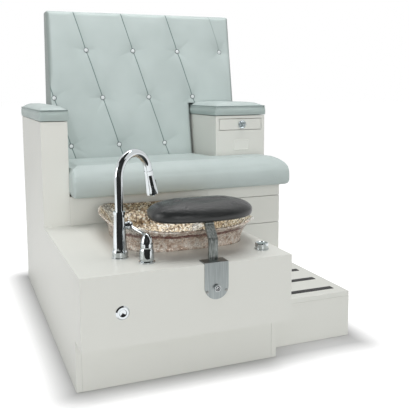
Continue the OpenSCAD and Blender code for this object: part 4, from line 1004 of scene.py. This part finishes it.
def studio_floor():
    """A wide pale disc that keeps the object's shadow and rises to white away from it; left unlifted close
    to the object, it is darker there, a painted shadow round the bench beside the real one.

    The way out counts from the rectangle that the bench stands on: the length of what the place exceeds it
    by. The rise is there for what sees the floor, and not for light that falls on things."""
    a = np.linspace(0, 2 * np.pi, 64, endpoint=False)
    circle = np.stack([np.cos(a), np.sin(a), np.zeros_like(a)], -1)
    rings = np.stack([r * circle for r in (0.001, 3.0, 40.0)]) + [0.0, 0.0, FLOOR_DOWN]
    mesh = skin("studio_floor", rings, ends=False)
    material = bpy.data.materials.new("studio_floor")
    material.use_nodes = True
    tree = material.node_tree
    tree.nodes.clear()
    paper = put(tree, "BsdfDiffuse", {"Color": (FLOOR_PAPER, FLOOR_PAPER, FLOOR_PAPER, 1.0)})
    low, high = (placed([*corner, 0.0]) for corner in FOOTPRINT)
    place = put(tree, "VectorMath", {0: put(tree, "TexCoord").outputs["Object"], 1: (low + high) / 2},
                operation="SUBTRACT")
    place = put(tree, "VectorMath", {0: place.outputs["Vector"]}, operation="ABSOLUTE")
    past = put(tree, "VectorMath", {0: place.outputs["Vector"], 1: (high - low) / 2}, operation="SUBTRACT")
    past = put(tree, "VectorMath", {0: past.outputs["Vector"], 1: (0.0, 0.0, 0.0)}, operation="MAXIMUM")
    away = put(tree, "VectorMath", {0: past.outputs["Vector"]}, operation="LENGTH").outputs["Value"]
    # Painted shadow: no lift on the rectangle the bench stands on, a full lift from the reach outward.
    level = put(tree, "MapRange", {"Value": away, "From Max": FLOOR_SHADOW_REACH, "To Max": FLOOR_LIFT})
    lift = put(tree, "Math", {0: seen_directly(tree), 1: level.outputs["Result"]}, operation="MULTIPLY")
    glow = put(tree, "Emission", {"Strength": lift.outputs["Value"]})
    both = put(tree, "AddShader", {0: paper.outputs["BSDF"], 1: glow.outputs["Emission"]})
    out = put(tree, "OutputMaterial")
    tree.links.new(both.outputs["Shader"], out.inputs["Surface"])
    mesh.materials.append(material)
    floor = bpy.data.objects.new("studio_floor", mesh)
    SCENE.collection.objects.link(floor)


def soft_box(name, place, aim, size, power):
    """A square area lamp at a place, turned to an aim."""
    data = bpy.data.lights.new(name, "AREA")
    data.size = size
    data.energy = power
    lamp = bpy.data.objects.new(name, data)
    SCENE.collection.objects.link(lamp)
    back = np.asarray(place, float) - np.asarray(aim, float)
    back /= np.linalg.norm(back)
    side = np.cross([0.0, 0.0, 1.0], back)
    side /= np.linalg.norm(side)
    turn = np.eye(4)
    turn[:3, 0], turn[:3, 1], turn[:3, 2], turn[:3, 3] = side, np.cross(back, side), back, place
    lamp.matrix_world = Matrix(turn.tolist())


FELT = 0.05


def dark_card(name, corner, along, across):
    """A dark card that only mirrors see, for the stripes of polished metal: a corner and its two sides."""
    corner, along, across = np.array([corner, along, across])
    corners = np.array([corner, corner + along, corner + along + across, corner + across])
    mesh = bpy.data.meshes.new(name)
    mesh.from_pydata(corners.tolist(), [], [(0, 1, 2, 3)])
    material = bpy.data.materials.new(name)
    material.use_nodes = True
    tree = material.node_tree
    tree.nodes.clear()
    felt = put(tree, "BsdfDiffuse", {"Color": (FELT, FELT, FELT, 1.0)})
    out = put(tree, "OutputMaterial")
    tree.links.new(felt.outputs["BSDF"], out.inputs["Surface"])
    mesh.materials.append(material)
    card = bpy.data.objects.new(name, mesh)
    SCENE.collection.objects.link(card)
    card.visible_camera = False
    card.visible_diffuse = False
    card.visible_transmission = False
    card.visible_shadow = False


photo_camera()
studio_world()
studio_floor()
soft_box("key_soft_box", (0.1, -0.2, 3.4), (0.0, 0.0, 0.5), 2.4, 73.0)
soft_box("left_soft_box", (-3.6, -0.3, 1.4), (0.0, 0.0, 0.5), 2.0, 40.0)
soft_box("front_soft_box", (-1.0, -8.0, 1.7), (0.0, 0.0, 0.3), 3.4, 300.0)
dark_card("dark_card_front", (-3.3, -1.3, -0.3), (5.7, -1.3, 0.0), (0.0, 0.0, 2.7))
dark_card("dark_card_over", (-2.0, -2.4, 2.4), (2.6, 0.0, 0.0), (0.0, 2.4, 0.0))
